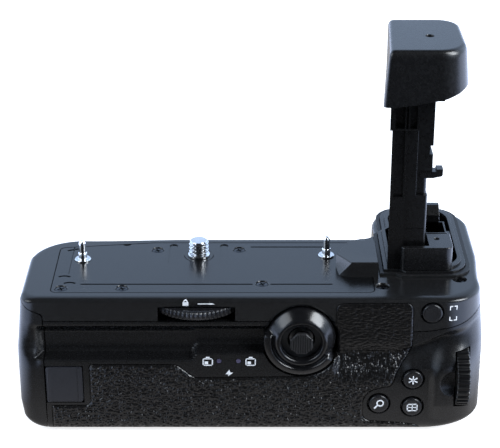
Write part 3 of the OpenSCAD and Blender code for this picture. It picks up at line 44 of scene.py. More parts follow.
# Sizes of the casing in millimetres, as in the CAD
X_LEFT, X_RIGHT, X_SEAM = -56.3, 90.4, -48.0
TOP_Z, SEAM_Z, CEILING_Z, PLATE_Z = 47.0, 39.2, 44.2, 45.2
REAR, REAR_LOW, REAR_FLOOR, REAR_INNER = 31.0, 33.0, 27.8, 27.2
FRONT_LOW, FRONT, BAY_Z1 = 21.3, 13.3, 32.9
WALL, GAP, SPLIT_Y = 2.0, 0.16, 4.0
REAR_ROUND, RIGHT_ROUND, RIGHT_RUN, LEFT_ROUND, FRONT_ROUND = 5.0, 5.4, 15.0, 9.0, 6.0
REAR_LEFT_R, REAR_RIGHT_R, FAR_LEFT_R, GRIP_R, INNER_R = 4.5, 12.5, 9.0, 15.0, 6.0
LEFT_LEAN, RIGHT_LEAN, FAR_LEFT_GROWTH = 1.5, 1.4, 6.0
GRIP_W, GRIP_REACH, GRIP_SWELL, GRIP_SPREAD = 32.5, 39.0, 5.0, 6.0
RECESS_Z0, TOP_ROUND = 29.6, 1.7
# Rounding along the rear edge of the top: across and down
REAR_EDGE = (2.8, 1.2)
# Cutters reach past the casing: over the top, and to both sides
OVER, FAR = 60.0, 80.0

# Places of the controls
JOY_X, JOY_Z, JOY_Y = 32.6, 33.2, -29.6
WHEEL_Y = -19.2
DIAL_X, DIAL_Y, DIAL_Z = 83.3, -28.2, 19.2
FRONT_DIAL = (84.6, 10.5, 17.9)
FUNCTION_YZ = (23.0, 25.9)
LAMP_X, LAMP_Z = (6.9, 13.0), 26.3
TRAY_YZ = (-3.25, 19.9)
# Buttons on the rear: X and Z, the casing's face there, and the stem's inner end
FOCUS = (73.1, 42.2, -31.0, -27.3)
STAR = (67.8, 19.8, -33.0, -28.9)
ZOOM = (57.3, 11.0, -33.0, -28.9)
GRID = (67.9, 9.9, -33.0, -28.9)

# Tower
TOWER_X0, TOWER_Y0, TOWER_Y1, TOWER_FLOOR = 60.2, -12.5, 16.0, 48.6
TOWER_LEAN, COLUMN_LEAN = 1.9, 2.7
HEAD_Z, COLLAR_Z, WAIST_Z, PLATE_FOOT_Z = 112.7, 95.6, 73.4, 80.8


# Small numeric helpers

def ease(a, b, t):
    t = np.clip((np.asarray(t, float) - a) / (b - a), 0, 1)
    return t * t * (3 - 2 * t)


def share(z, a, b):
    return min(1.0, max(0.0, (z - a) / (b - a)))


def spline(xs, ys):
    """Monotone cubic through the points, as a function of arrays."""
    xs, ys = np.array(xs, float), np.array(ys, float)
    h = np.diff(xs)
    s = np.diff(ys) / h
    m = np.zeros_like(xs)
    m[0], m[-1] = s[0], s[-1]
    for i in range(1, len(xs) - 1):
        m[i] = 0 if s[i - 1] * s[i] <= 0 else 2 * s[i - 1] * s[i] / (s[i - 1] + s[i])

    def at(x):
        x = np.clip(np.asarray(x, float), xs[0], xs[-1])
        i = np.clip(np.searchsorted(xs, x) - 1, 0, len(h) - 1)
        t = (x - xs[i]) / h[i]
        return (ys[i] * (1 + 2 * t) * (1 - t) ** 2 + ys[i + 1] * t * t * (3 - 2 * t)
                + h[i] * (m[i] * t * (1 - t) ** 2 - m[i + 1] * t * t * (1 - t)))
    return at


def round_in(h, r):
    """How far a rounded edge of radius r is drawn in at height h over its foot."""
    h = np.clip(h, 0, r)
    return r - np.sqrt(np.maximum(r * r - (r - h) ** 2, 0))


def dome(t):
    """Quarter circle from 0 to 1 over the same span."""
    return np.sqrt(np.clip(1 - (1 - np.clip(t, 0, 1)) ** 2, 0, 1))


def bead(d, sharp):
    """Parabola that falls from 1 with the distance d, down to 0."""
    return np.clip(1 - (sharp * d) ** 2, 0, 1)


def hash2(i, j, k):
    v = np.sin(i * 127.1 + j * 311.7 + k * 74.7) * 43758.5453
    return v - np.floor(v)


def cells(u, v, size, seed):
    """Distance to the nearest point of a jittered grid."""
    u, v = u / size, v / size
    iu, iv = np.floor(u), np.floor(v)
    nearest = np.full(u.shape, 9.0)
    for di in (-1, 0, 1):
        for dj in (-1, 0, 1):
            a, b = iu + di, iv + dj
            du = a + 0.1 + 0.8 * hash2(a, b, seed) - u
            dv = b + 0.1 + 0.8 * hash2(a, b, seed + 5) - v
            nearest = np.minimum(nearest, np.hypot(du, dv))
    return nearest


def soft_noise(u, v, size, seed):
    u, v = u / size, v / size
    iu, iv = np.floor(u), np.floor(v)
    fu, fv = ease(0, 1, u - iu), ease(0, 1, v - iv)
    a, b = hash2(iu, iv, seed), hash2(iu + 1, iv, seed)
    c, d = hash2(iu, iv + 1, seed), hash2(iu + 1, iv + 1, seed)
    return (a * (1 - fu) + b * fu) * (1 - fv) + (c * (1 - fu) + d * fu) * fv


def leather(u, v):
    """Height of the rubber's grain from 0 in a crease to about 1 on a pebble."""
    wu = u + 0.7 * (soft_noise(u, v, 1.3, 3) - 0.5)
    wv = v + 0.7 * (soft_noise(u, v, 1.3, 8) - 0.5)
    big = cells(wu * 0.72, wv * 1.1, 0.95, 1)
    small = cells(wu * 0.8, wv * 1.1, 0.5, 2)
    lot = 0.6 + 0.4 * soft_noise(u, v, 0.9, 9)
    return lot * (0.75 * bead(big, 1.45) + 0.25 * bead(small, 1.4))


# Outlines

def arc_points(x, y, r, a0, a1, n):
    turns = [math.radians(a0 + (a1 - a0) * i / n) for i in range(n + 1)]
    return [(x + r * math.cos(a), y + r * math.sin(a)) for a in turns]


def circle(x, y, r, n):
    return arc_points(x, y, r, 0, 360, n)[:-1]


def round_rect(x, y, r, n=8):
    corners = ((x[0] + r, y[0] + r, 180), (x[1] - r, y[0] + r, 270),
               (x[1] - r, y[1] - r, 0), (x[0] + r, y[1] - r, 90))
    return [p for cx, cy, a0 in corners for p in arc_points(cx, cy, r, a0, a0 + 90, n)]


def inset(pts, d):
    """Outline drawn in by d, for outlines that run either way round."""
    if d == 0:
        return pts
    nxt, prv = np.roll(pts, -1, 0), np.roll(pts, 1, 0)
    area = np.sum(pts[:, 0] * nxt[:, 1] - nxt[:, 0] * pts[:, 1])

    def normals(e):
        return np.stack([-e[:, 1], e[:, 0]], 1) / lengths(e)

    def lengths(e):
        return np.maximum(np.linalg.norm(e, axis=1), 1e-9)[:, None]

    before = normals(pts - prv)
    n = before + normals(nxt - pts)
    n /= lengths(n)
    c = np.maximum(np.sum(n * before, 1), 0.4)
    return pts + n * (d / c)[:, None] * (1 if area > 0 else -1)


# Meshes and solids

def along(axis, p, h):
    """Point at h along an axis, with p as its place across it."""
    return {"x": (h, p[0], p[1]), "y": (p[0], h, p[1]), "z": (p[0], p[1], h)}[axis]


def make(name, verts, faces):
    mesh = bpy.data.meshes.new(name)
    mesh.from_pydata([tuple(p) for p in np.asarray(verts, float) * MM], [], faces)
    obj = bpy.data.objects.new(name, mesh)
    scene.collection.objects.link(obj)
    bm = bmesh.new()
    bm.from_mesh(mesh)
    bmesh.ops.recalc_face_normals(bm, faces=bm.faces)
    bm.to_mesh(mesh)
    bm.free()
    return obj


def skin(name, rings, closed=False):
    """Solid through rings of equal length; closed joins the last ring to the first."""
    m, n = len(rings), len(rings[0])
    verts = [p for ring in rings for p in ring]
    faces = []
    for k in range(m if closed else m - 1):
        k2 = (k + 1) % m
        for i in range(n):
            j = (i + 1) % n
            faces.append((k * n + i, k * n + j, k2 * n + j, k2 * n + i))
    if not closed:
        faces.append(tuple(range(n - 1, -1, -1)))
        faces.append(tuple((m - 1) * n + i for i in range(n)))
    return make(name, verts, faces)


def sheet(name, outer, inner):
    """Solid between two grids of points of the same shape."""
    nz, nx = outer.shape[:2]
    verts = np.concatenate([outer.reshape(-1, 3), inner.reshape(-1, 3)])
    idx, off = np.arange(nz * nx).reshape(nz, nx), nz * nx
    corners = [idx[:-1, :-1], idx[:-1, 1:], idx[1:, 1:], idx[1:, :-1]]
    quads = np.stack(corners, -1).reshape(-1, 4)
    faces = [tuple(q) for q in quads] + [tuple(q[::-1] + off) for q in quads]
    rim = list(idx[0, :]) + list(idx[1:, -1]) + list(idx[-1, -2::-1]) + list(idx[-2:0:-1, 0])
    for a, b in zip(rim, rim[1:] + rim[:1]):
        faces.append((b, a, a + off, b + off))
    return make(name, verts, faces)


def prism(name, points, lo, hi, axis="z", edge=0.0, steps=2):
    """Outline carried along an axis, with its two rims rounded by edge."""
    pts = np.array(points, float)
    rings = [(pts, lo), (pts, hi)]
    if edge > 0:
        turns = [math.pi / 2 * k / steps for k in range(steps + 1)]
        rim = [(inset(pts, edge * (1 - math.sin(a))), edge * (1 - math.cos(a))) for a in turns]
        rings = [(p, lo + h) for p, h in rim] + [(p, hi - h) for p, h in reversed(rim)]
    return skin(name, [[along(axis, q, h) for q in p] for p, h in rings])


def lathe(name, profile, centre, axis="z", n=64):
    """Solid of revolution; profile points are (radius, place along the axis)."""
    return skin(name, [[along(axis, q, h) for q in circle(*centre, max(r, 1e-4), n)]
                       for r, h in profile])


def cuboid(name, x, y, z, edge=0.0):
    pts = [(x[0], y[0]), (x[1], y[0]), (x[1], y[1]), (x[0], y[1])]
    return prism(name, pts, z[0], z[1], "z", edge)


def copy_of(obj, name):
    new = bpy.data.objects.new(name, obj.data.copy())
    scene.collection.objects.link(new)
    return new


def discard(obj):
    mesh = obj.data
    bpy.data.objects.remove(obj)
    bpy.data.meshes.remove(mesh)


def combine(obj, others, operation="DIFFERENCE"):
    """Applies one solid operation after another and removes the other solids."""
    for other in others:
        mod = obj.modifiers.new("solid", "BOOLEAN")
        mod.operation = operation
        mod.solver = "MANIFOLD"
        mod.object = other
        graph = bpy.context.evaluated_depsgraph_get()
        made = bpy.data.meshes.new_from_object(obj.evaluated_get(graph))
        obj.modifiers.clear()
        old = obj.data
        obj.data = made
        bpy.data.meshes.remove(old)
        discard(other)
    return obj


def join(parts):
    """Puts all meshes into the first piece without joining their surfaces."""
    bm = bmesh.new()
    for part in parts:
        bm.from_mesh(part.data)
    bm.to_mesh(parts[0].data)
    bm.free()
    for part in parts[1:]:
        discard(part)
    return parts[0]


def finish_piece(obj, material, body, nodes=(), angle=40, weighted=True):
    """Gives a piece its finish and its body, in place of the CAD nodes it shows."""
    obj.data.materials.clear()
    obj.data.materials.append(material)
    obj.data.shade_smooth()
    obj.data.set_sharp_from_angle(angle=math.radians(angle))
    if weighted:
        mod = obj.modifiers.new("normals", "WEIGHTED_NORMAL")
        mod.keep_sharp = True
    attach(obj, body)
    if nodes:
        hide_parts(*nodes)
    return obj


# Materials

def tree_of(block):
    """Emptied node tree of a material or a world."""
    block.use_nodes = True
    block.node_tree.nodes.clear()
    return block.node_tree


def new_node(nt, kind, sockets=None):
    """Node whose sockets hold constants or are joined to other nodes' outputs."""
    node = nt.nodes.new(kind)
    for key, value in (sockets or {}).items():
        if isinstance(value, bpy.types.NodeSocket):
            nt.links.new(value, node.inputs[key])
        else:
            node.inputs[key].default_value = value
    return node


def shader(name, dark, light, scale, rough, bumps, metal=0.0, rough_var=0.06, coat=0.0):
    """Finish with varied colour and roughness, and bumps as (kind, scale, strength, depth)."""
    mat = bpy.data.materials.new(name)
    nt = tree_of(mat)
    co = new_node(nt, "ShaderNodeTexCoord").outputs["Object"]
    noise = new_node(nt, "ShaderNodeTexNoise", {"Vector": co, "Scale": scale, "Detail": 4.0})
    ramp = new_node(nt, "ShaderNodeValToRGB", {"Fac": noise.outputs["Fac"]})
    for stop, place, colour in zip(ramp.color_ramp.elements, (0.3, 0.75), (dark, light)):
        stop.position = place
        stop.color = (*colour, 1)
    spread = new_node(nt, "ShaderNodeMapRange", {
        "Value": noise.outputs["Fac"], "To Min": rough - rough_var, "To Max": rough + rough_var})
    surface = {"Base Color": ramp.outputs["Color"], "Roughness": spread.outputs["Result"],
               "Metallic": metal, "Coat Weight": coat, "Coat Roughness": 0.15}
    for kind, fine, strength, depth in bumps:
        if kind == "noise":
            tex = new_node(nt, "ShaderNodeTexNoise", {"Vector": co, "Scale": fine, "Detail": 3.0})
            height = tex.outputs["Fac"]
        else:
            tex = new_node(nt, "ShaderNodeTexVoronoi", {"Vector": co, "Scale": fine})
            height = tex.outputs["Distance"]
        relief = {"Height": height, "Strength": strength, "Distance": depth}
        if "Normal" in surface:
            relief["Normal"] = surface["Normal"]
        surface["Normal"] = new_node(nt, "ShaderNodeBump", relief).outputs["Normal"]
    bsdf = new_node(nt, "ShaderNodeBsdfPrincipled", surface)
    new_node(nt, "ShaderNodeOutputMaterial", {"Surface": bsdf.outputs["BSDF"]})
    return mat


CASING = shader("casing_plastic", (0.005, 0.005, 0.0054), (0.007, 0.007, 0.0076), 900, 0.27,
                [("noise", 3200, 0.10, 0.0001), ("voronoi", 1700, 0.06, 0.0001)])
BAND = shader("band_plastic", (0.008, 0.008, 0.0083), (0.0105, 0.0105, 0.0108), 700, 0.22,
              [("noise", 3600, 0.07, 0.0001)])
PLATE = shader("plate_metal", (0.003, 0.0033, 0.0037), (0.006, 0.0064, 0.007), 1400, 0.22,
               [("noise", 1700, 0.3, 0.0001), ("voronoi", 900, 0.05, 0.0001)])
RUBBER = shader("grip_rubber", (0.0026, 0.0024, 0.0025), (0.0046, 0.0042, 0.0043), 600, 0.25,
                [("voronoi", 1300, 0.5, 0.0002), ("noise", 2600, 0.1, 0.0001)], rough_var=0.05)
CHROME = shader("bright_metal", (0.66, 0.67, 0.69), (0.76, 0.77, 0.78), 500, 0.14,
                [("noise", 2000, 0.05, 0.00005)], metal=1.0, rough_var=0.05)
STEEL = shader("steel", (0.36, 0.37, 0.39), (0.48, 0.49, 0.5), 800, 0.3,
               [("noise", 2500, 0.08, 0.00005)], metal=1.0)
DARK_STEEL = shader("dark_steel", (0.045, 0.047, 0.052), (0.08, 0.084, 0.092), 900, 0.3,
                    [("noise", 2500, 0.1, 0.00006)], metal=1.0)
CONTROL = shader("control_plastic", (0.0085, 0.0085, 0.0098), (0.0115, 0.0115, 0.013), 700, 0.26,
                 [("noise", 4200, 0.04, 0.00006)])
STICK = shader("stick_rubber", (0.016, 0.016, 0.017), (0.021, 0.021, 0.022), 900, 0.4,
               [("noise", 3600, 0.1, 0.00006)])
GLOSS = shader("collar_plastic", (0.0038, 0.0038, 0.0044), (0.0056, 0.0056, 0.0064), 500, 0.2,
               [("noise", 3200, 0.03, 0.00006)])
FLAP = shader("flap_plastic", (0.0155, 0.0162, 0.021), (0.0185, 0.0195, 0.025), 600, 0.38,
              [("noise", 3000, 0.08, 0.0001)])
TOWER = shader("tower_plastic", (0.0024, 0.0024, 0.0026), (0.004, 0.004, 0.0043), 800, 0.28,
               [("noise", 3000, 0.08, 0.0001)])
INNER = shader("inner_plastic", (0.010, 0.0106, 0.012), (0.016, 0.0168, 0.019), 500, 0.45,
               [("noise", 2400, 0.15, 0.0001)])
SEAL = shader("seal_rubber", (0.003, 0.003, 0.0034), (0.0056, 0.0056, 0.006), 900, 0.5,
              [("noise", 3000, 0.2, 0.0001)])
BOARD = shader("circuit_board", (0.012, 0.075, 0.03), (0.02, 0.12, 0.05), 260, 0.35,
               [("voronoi", 500, 0.2, 0.0001)], coat=0.4)
GOLD = shader("contact_metal", (0.75, 0.52, 0.2), (0.85, 0.62, 0.28), 700, 0.25,
              [("noise", 2200, 0.08, 0.00005)], metal=1.0)
LIGHT = shader("light_pipe", (0.05, 0.044, 0.085), (0.07, 0.062, 0.115), 900, 0.25,
               [("noise", 3000, 0.05, 0.00005)], coat=0.3)
PRINT = shader("white_print", (0.80, 0.81, 0.83), (0.72, 0.73, 0.75), 1500, 0.55,
               [("noise", 4000, 0.1, 0.00004)])
DIAL = shader("dial_rubber", (0.003, 0.003, 0.0033), (0.005, 0.005, 0.0055), 900, 0.3,
              [("noise", 3600, 0.06, 0.00006)])


# Outer surface of the casing

def top_in(z):
    return round_in(TOP_Z - z, TOP_ROUND) if z > TOP_Z - TOP_ROUND else 0.0


def wall_left(z):
    return -X_LEFT - round_in(z, LEFT_ROUND) - top_in(z) - LEFT_LEAN * share(z, RECESS_Z0, TOP_Z)


def wall_right(z):
    return (X_RIGHT - RIGHT_RUN / RIGHT_ROUND * round_in(z, RIGHT_ROUND) - top_in(z)
            - RIGHT_LEAN * share(z, RECESS_Z0, TOP_Z))


front_line = spline([0, BAY_Z1 + 1, BAY_Z1 + 2.5, SEAM_Z - 0.8, SEAM_Z, 50],
                    [FRONT_LOW, FRONT_LOW, FRONT_LOW - 2.6, FRONT + 0.3, FRONT, FRONT])


def wall_front(z):
    return float(front_line(z)) - round_in(z, FRONT_ROUND) - top_in(z)


def grip_front(z):
    return (GRIP_REACH + GRIP_SWELL * (1 - share(z, RECESS_Z0, SEAM_Z))
            - round_in(z, FRONT_ROUND) - top_in(z))


def grip_left(z):
    return X_RIGHT - GRIP_W - GRIP_SPREAD * (1 - share(z, BAY_Z1, SEAM_Z)) + top_in(z)


# Sections of the rear wall over Z: finger recess, its soft end, plain wall and thumb rest
recess_line = spline([0, 26.2, 26.6, 26.8, 27.0, 27.5, 28.5, 33.8, 34.6, 35.4, 37.4, 38.1, 60],
                     [REAR_LOW, REAR_LOW, 32.7, 31.4, 29.2, 28.1, REAR_FLOOR, REAR_FLOOR,
                      28.0, 28.5, 30.6, REAR, REAR])
soft_line = spline([0, 23, 27, 30, 33, 36, 39, 60],
                   [REAR_LOW, REAR_LOW, 32.2, 30.9, 30.4, 30.5, REAR, REAR])
plain_line = spline([0, 24, 27, 35, 39, 60], [REAR_LOW, REAR_LOW, 32.8, 31.3, REAR, REAR])
thumb_line = spline([0, 18.5, 20.5, 23, 25.5, 27.6, 28.1, 28.9, 30.5, 33, 37, 60],
                    [REAR_LOW, REAR_LOW, 32.7, 31.8, 30.6, 29.7, 29.7, 30.2, 30.8, 31.05,
                     REAR, REAR])
# Lines over X: the seam, and the hollow right of the thumb rest
seam_line = spline([-100, 40, 46, 58, 67.4, 72, 77.1, 81.1, 84.5, 87.5, 90, 120],
                   [SEAM_Z, SEAM_Z, 38.6, 36.6, 35.6, 35.8, 36.7, 37.5, 38.5, 39.9, 40.8, 41.0])
hollow_lip = spline([60, 67.6, 70.9, 75, 77.7, 81, 84.1, 90, 120],
                    [29.0, 30.7, 32.0, 34.2, 35.6, 36.6, 37.4, 38.4, 39.0])
hollow_depth = spline([60, 68, 76, 84, 90, 120], [2.2, 2.2, 1.6, 0.7, 0.2, 0.2])
HOLLOW_FOOT, LIP_DROP = 23.0, 1.6
# Dial's mound: centre in X and Z, half sizes, and its corners' radii above and below
MOUND, MOUND_R = (80.5, 18.0, 7.0, 12.9), (6.5, 4.0)


def mound_edge(x, z):
    """Signed distance to the outline of the dial's mound."""
    cx, cz, hx, hz = MOUND
    r = np.where(z > cz, *MOUND_R)
    dx, dz = np.abs(x - cx) - hx + r, np.abs(z - cz) - hz + r
    return np.hypot(np.maximum(dx, 0), np.maximum(dz, 0)) + np.minimum(np.maximum(dx, dz), 0) - r


def hollow_wall(x, z):
    """Wall right of the thumb rest: a hollow under a lip that climbs to the right."""
    lip, deep = hollow_lip(x), hollow_depth(x)
    back = np.clip((lip - LIP_DROP - z) / np.maximum(lip - LIP_DROP - HOLLOW_FOOT, 1), 0, 1)
    return REAR - deep * ease(0, LIP_DROP, lip - z) + (REAR_LOW - REAR + deep) * ease(0, 1, back)


def rear_wall(x, z):
    """Distance of the rear surface behind the screw's axis."""
    x, z = np.broadcast_arrays(np.asarray(x, float), np.asarray(z, float))
    # Raised ground of the charge lights lifts the lower lip
    lift = 2.4 * ease(-2.0, 0.2, x) * ease(30, 27, x)
    w = recess_line(z - lift * ease(37.0, 32.5, z))
    w = w + (soft_line(z) - w) * ease(-48.2, -51.0, x)
    w = w + (plain_line(z) - w) * ease(-50.0, -55.0, x)
    w = w + (thumb_line(z) - w) * ease(42.0, 45.0, x)
    w = w + (hollow_wall(x, z) - w) * ease(63.5, 68.0, x)
    # Ridge under the hollow's lip at the right end
    off = z - (hollow_lip(x) - 1.3)
    w = w + 0.5 * np.exp(-(off / 0.75) ** 2) * ease(76.0, 79.5, x) * ease(87.0, 83.0, x)
    w = w - round_in(z, REAR_ROUND)
    across, down = REAR_EDGE
    w = w - np.where(z > TOP_Z - down, across / down * round_in(TOP_Z - z, down), 0.0)
    rise = 1.9 - 0.08 * np.clip(x - (MOUND[0] - MOUND[2]), 0, 2 * MOUND[2])
    crest = -1.5 - 3.0 * ease(20.0, 27.0, z)
    return w + rise * ease(0.9, crest, mound_edge(x, z)) * ease(3.0, 10.0, z)


# Points on each stretch of the casing's plan, in the order they run
COUNTS = dict(rear_left=10, rear=230, rear_right=34, right=40, tip=18, end=6, side=16,
              hollow=10, front=64, far_left=12, left=24)


def outline(z, d=0.0, rear=None, flat=False):
    """Plan of the casing at height z grown by d; flat leaves out the rear wall's form."""
    l, r = -wall_left(z) - d, wall_right(z) + d
    base = float(plain_line(z)) - round_in(z, REAR_ROUND) - top_in(z) if rear is None else rear
    b, f = -base - d, wall_front(z) + d
    g, t = grip_left(z) - d, grip_front(z) + d
    lr, rr, ir = REAR_LEFT_R + d, REAR_RIGHT_R + d, INNER_R - d
    fr = FAR_LEFT_R + FAR_LEFT_GROWTH * share(z, BAY_Z1, SEAM_Z) + d
    tr = min(GRIP_R + d, 0.49 * (r - g))
    c = COUNTS
    pts, face = [], []

    def arc(x, y, rad, a0, a1, n):
        pts.extend(arc_points(x, y, rad, a0, a1, n))
        face.extend(-math.sin(math.radians(a0 + (a1 - a0) * i / n)) for i in range(n + 1))

    def run(q, n, ny):
        p = pts[-1]
        for i in range(1, n):
            pts.append((p[0] + (q[0] - p[0]) * i / n, p[1] + (q[1] - p[1]) * i / n))
            face.append(ny)

    arc(l + lr, b + lr, lr, 180, 270, c["rear_left"])
    run((r - rr, b), c["rear"], 1.0)
    arc(r - rr, b + rr, rr, 270, 360, c["rear_right"])
    run((r, t - tr), c["right"], 0.0)
    arc(r - tr, t - tr, tr, 0, 90, c["tip"])
    run((g + tr, t), c["end"], -1.0)
    arc(g + tr, t - tr, tr, 90, 180, c["tip"])
    run((g, f + ir), c["side"], 0.0)
    arc(g - ir, f + ir, ir, 0, -90, c["hollow"])
    run((l + fr, f), c["front"], -1.0)
    arc(l + fr, f - fr, fr, 90, 180, c["far_left"])
    run((l, b + lr), c["left"], 0.0)
    pts, face = np.array(pts), np.array(face)
    if rear is None and not flat:
        shift = rear_wall(pts[:, 0], np.full(len(pts), z)) - base
        pts[:, 1] -= shift * ease(0.02, 0.45, face)
    # The right side swells towards the hand grip near the top
    x, y = pts[:, 0], pts[:, 1]
    swell = ease(60, 85, x) * ease(-16, 4, y) * ease(44, 26, y)
    pts[:, 0] += 1.3 * swell * share(z, RECESS_Z0 + 3, SEAM_Z)
    # The far edge of the top draws in towards the left
    far = (face < -0.2) & (pts[:, 0] < g - ir)
    pts[:, 1] -= far * ease(-4.0, -34.0, pts[:, 0]) * share(z, BAY_Z1, SEAM_Z)
    return pts


def level(pts, z):
    return [(x, y, z) for x, y in pts]


def quarter(r, a0, a1, n):
    """Heights over the foot of a rounding of radius r, at even angles."""
    return [r * (1 - math.cos(math.radians(a))) for a in np.linspace(a0, a1, n)]


heights = np.concatenate([
    quarter(RIGHT_ROUND, 0, 90, 22), np.arange(10.6, 26.0, 0.7), np.arange(26.1, 28.8, 0.1),
    np.arange(28.9, 40.2, 0.22), np.arange(40.4, 45.2, 0.6),
    [TOP_Z - h for h in quarter(TOP_ROUND, 0, 90, 9)],
    [TOP_Z - h for h in quarter(REAR_EDGE[1], 10, 85, 8)]])
hull = skin("hull", [level(outline(z), z) for z in sorted(set(np.round(heights, 4)))])

# Hollow inside the casing: height, height whose plan it follows, and its rear
rooms = [(z + WALL, z, REAR_LOW - float(round_in(z, REAR_ROUND)))
         for z in (0, 0.5, 1.5, 3, 5, 8, 12)]
rooms += [(22.0, 22.0, REAR_LOW), (23.5, 23.5, REAR_INNER), (33.5, 33.5, REAR_INNER),
          (34.5, SEAM_Z, REAR_INNER), (CEILING_Z, SEAM_Z, REAR_INNER)]
hollow = skin("hollow", [level(outline(follow, -WALL, rear), z) for z, follow, rear in rooms])


def cap_outline(d):
    """Side view of the end cap grown by d, open to the left."""
    bend = arc_points(X_SEAM + d - 1.6, 40.2 + d, 1.6, 0, 70, 6)
    return ([(X_LEFT - 10, -1), (X_SEAM + d, -1)] + bend
            + [(-51.2, 42.7 + d), (-53.1, 43.7 + d), (-54.6, 45.4 + d), (X_LEFT - 10, 46.6 + d)])


def seam_block(name, d, end):
    """Solid on one side of the seam, which waves on the rear and runs level on the front."""
    xs = np.concatenate([[-90], np.linspace(-70, 40, 12), np.linspace(42, 92, 40), [130]])
    rings = []
    for y, wave in ((-FAR, 1), (-15, 1), (12, 0), (FAR, 0)):
        edge = [(x, y, SEAM_Z + wave * (float(seam_line(x)) - SEAM_Z) + d) for x in xs]
        rings.append(edge + [(xs[-1], y, end), (xs[0], y, end)])
    return skin(name, rings)


def hole_y(name, x, z, r, y0, y1, flare=0.3, n=56):
    """Round cutter along Y with a flared mouth at y0."""
    return lathe(name, [(r + flare + 4, y0 - 4), (r + flare, y0), (r + 0.1, y0 + flare),
                        (r, y0 + flare + 0.15), (r, y1)], (x, z), "y", n)


def button_hole(name, place, r):
    x, z, face, _ = place
    return hole_y(name, x, z, r, face, face + 7)


def joy_seat(name):
    """Cutter for the joystick's seat with its moat."""
    return lathe(name, [(12.4, -44), (12.4, -31.6), (12.0, -31.0), (11.2, -30.4), (11.0, -29.8),
                        (11.0, -25.4)], (JOY_X, JOY_Z), "y", 96)


PLATE_X, PLATE_Y = (-45.5, 55.4), (-26.4, 9.6)


def plate_outline(d):
    """Plate's plan grown by d, with the far left corner drawn in."""
    r = 2 + d
    x0, x1, y0, y1 = PLATE_X[0] - d, PLATE_X[1] + d, PLATE_Y[0] - d, PLATE_Y[1] + d
    return (arc_points(x0 + r, y0 + r, r, 180, 270, 8) + arc_points(x1 - r, y0 + r, r, 270, 360, 8)
            + arc_points(x1 - r, y1 - r, r, 0, 90, 8) + [(x0 + 31, y1)]
            + arc_points(x0 + r, y1 - 3.6 - r, r, 97, 180, 8))


SCREWS = [(-13.6, 4.1), (13.1, 4.3), (-42.5, -23.6), (-23.4, -23.4), (20.4, -20.3)]
COVER_SCREWS = [(58.2, -22.0), (82.8, -17.2)]
PINS = [(-37.5, -3.0), (41.4, 0.0)]

# Outline of the rear rubber and its bed in the casing
RUBBER_BED, RUBBER_GAP = 0.6, 0.22
rubber_outline = (
    [(-46.0, 1.5), (-46.0, 10.2)] + arc_points(-35.5, 12.1, 1.8, 270, 360, 6) + [(-33.7, 24.0)]
    + arc_points(-32.7, 24.0, 1.0, 180, 90, 4)
    + arc_points(-8, 21.0, 4, 90, 45, 5) + arc_points(0.5, 24.3, 4, 225, 270, 5)
    + arc_points(JOY_X, JOY_Z, 12.5, 270, 325, 12) + [(43.4, 27.7)]
    + arc_points(45.4, 43.4, 2, 180, 90, 6) + arc_points(65.2, 43.4, 2, 90, 0, 6)
    + [(67.3, 28.8), (64.4, 24.9), (62.6, 21.6)] + arc_points(59.4, 19.2, 2.2, -20, -100, 6)
    + [(57.4, 16.6)] + arc_points(57.6, 11.0, 5.4, 110, 180, 10)
    + arc_points(55.0, 7.4, 2.8, 180, 262, 8)
    + [(64.3, 3.9), (68.6, 3.2), (69.8, 2.5), (70.4, 1.5)])


def rubber_bed(name):
    """Cutter that sinks the rubber into the casing, with a narrow gap round it."""
    x, z = np.meshgrid(np.arange(-47.4, 71.6, 0.6), np.arange(0.8, 46.6, 0.45))
    bed = sheet(name, np.stack([x, np.full(x.shape, -60.0), z], -1),
                np.stack([x, RUBBER_BED - rear_wall(x, z), z], -1))
    region = prism("bed_region", inset(np.array(rubber_outline), -RUBBER_GAP), -70, -10, "y")
    return combine(bed, [region], "INTERSECT")


# Top cover
top = copy_of(hull, "top_cover_shell")
combine(top, [seam_block("seam_top", GAP, 70)], "INTERSECT")
combine(top, [
    prism("cap_room", cap_outline(2 * GAP), -FAR, FAR, "y"),
    copy_of(hollow, "hollow_top"),
    prism("plate_room", plate_outline(0.25), PLATE_Z, OVER),
    lathe("wheel_room", [(15.7, 38.4), (15.7, 44.4)], (0, WHEEL_Y), "z", 96),
    cuboid("window", (-12, 12), (-40, -24), (38.0, 44.2)),
    joy_seat("seat_top"),
    button_hole("focus_hole", FOCUS, 3.45),
    rubber_bed("bed_top"),
])
seat = [(0.01, 44.9), (2.05, 44.9), (2.05, 46.7), (2.4, 47.05), (2.4, OVER)]
combine(top, [lathe("cover_screw_hole", seat, p, "z", 40) for p in COVER_SCREWS])
finish_piece(top, BAND, "grip_body", ["top_cover"], angle=32)

# End cap
cap = copy_of(hull, "end_cap_shell")
combine(cap, [prism("cap_region", cap_outline(0.0), -FAR, FAR, "y")], "INTERSECT")
combine(cap, [
    cuboid("cap_hollow", (X_LEFT + 5.4, X_SEAM + 3), (-20.85, 14.35), (10.35, 29.35)),
    lathe("knob_well", [(9.7, -62), (9.7, -56.1), (9.4, -55.8), (9.4, -53.3)], TRAY_YZ, "x", 72),
    lathe("spindle_bore", [(2.05, -58), (2.05, -40)], TRAY_YZ, "x", 32),
])
finish_piece(cap, CASING, "magazine", ["magazine_end_cap"], angle=32)

# Lower casing halves
low = copy_of(hull, "low_shell")
combine(low, [seam_block("seam_low", -GAP, -10)], "INTERSECT")
combine(low, [
    prism("cap_room2", cap_outline(2 * GAP), -FAR, FAR, "y"),
    copy_of(hollow, "hollow_low"),
    prism("base_room", round_rect((-40.25, 60.45), (-22.25, 14.25), 4.2), -3, 3),
])
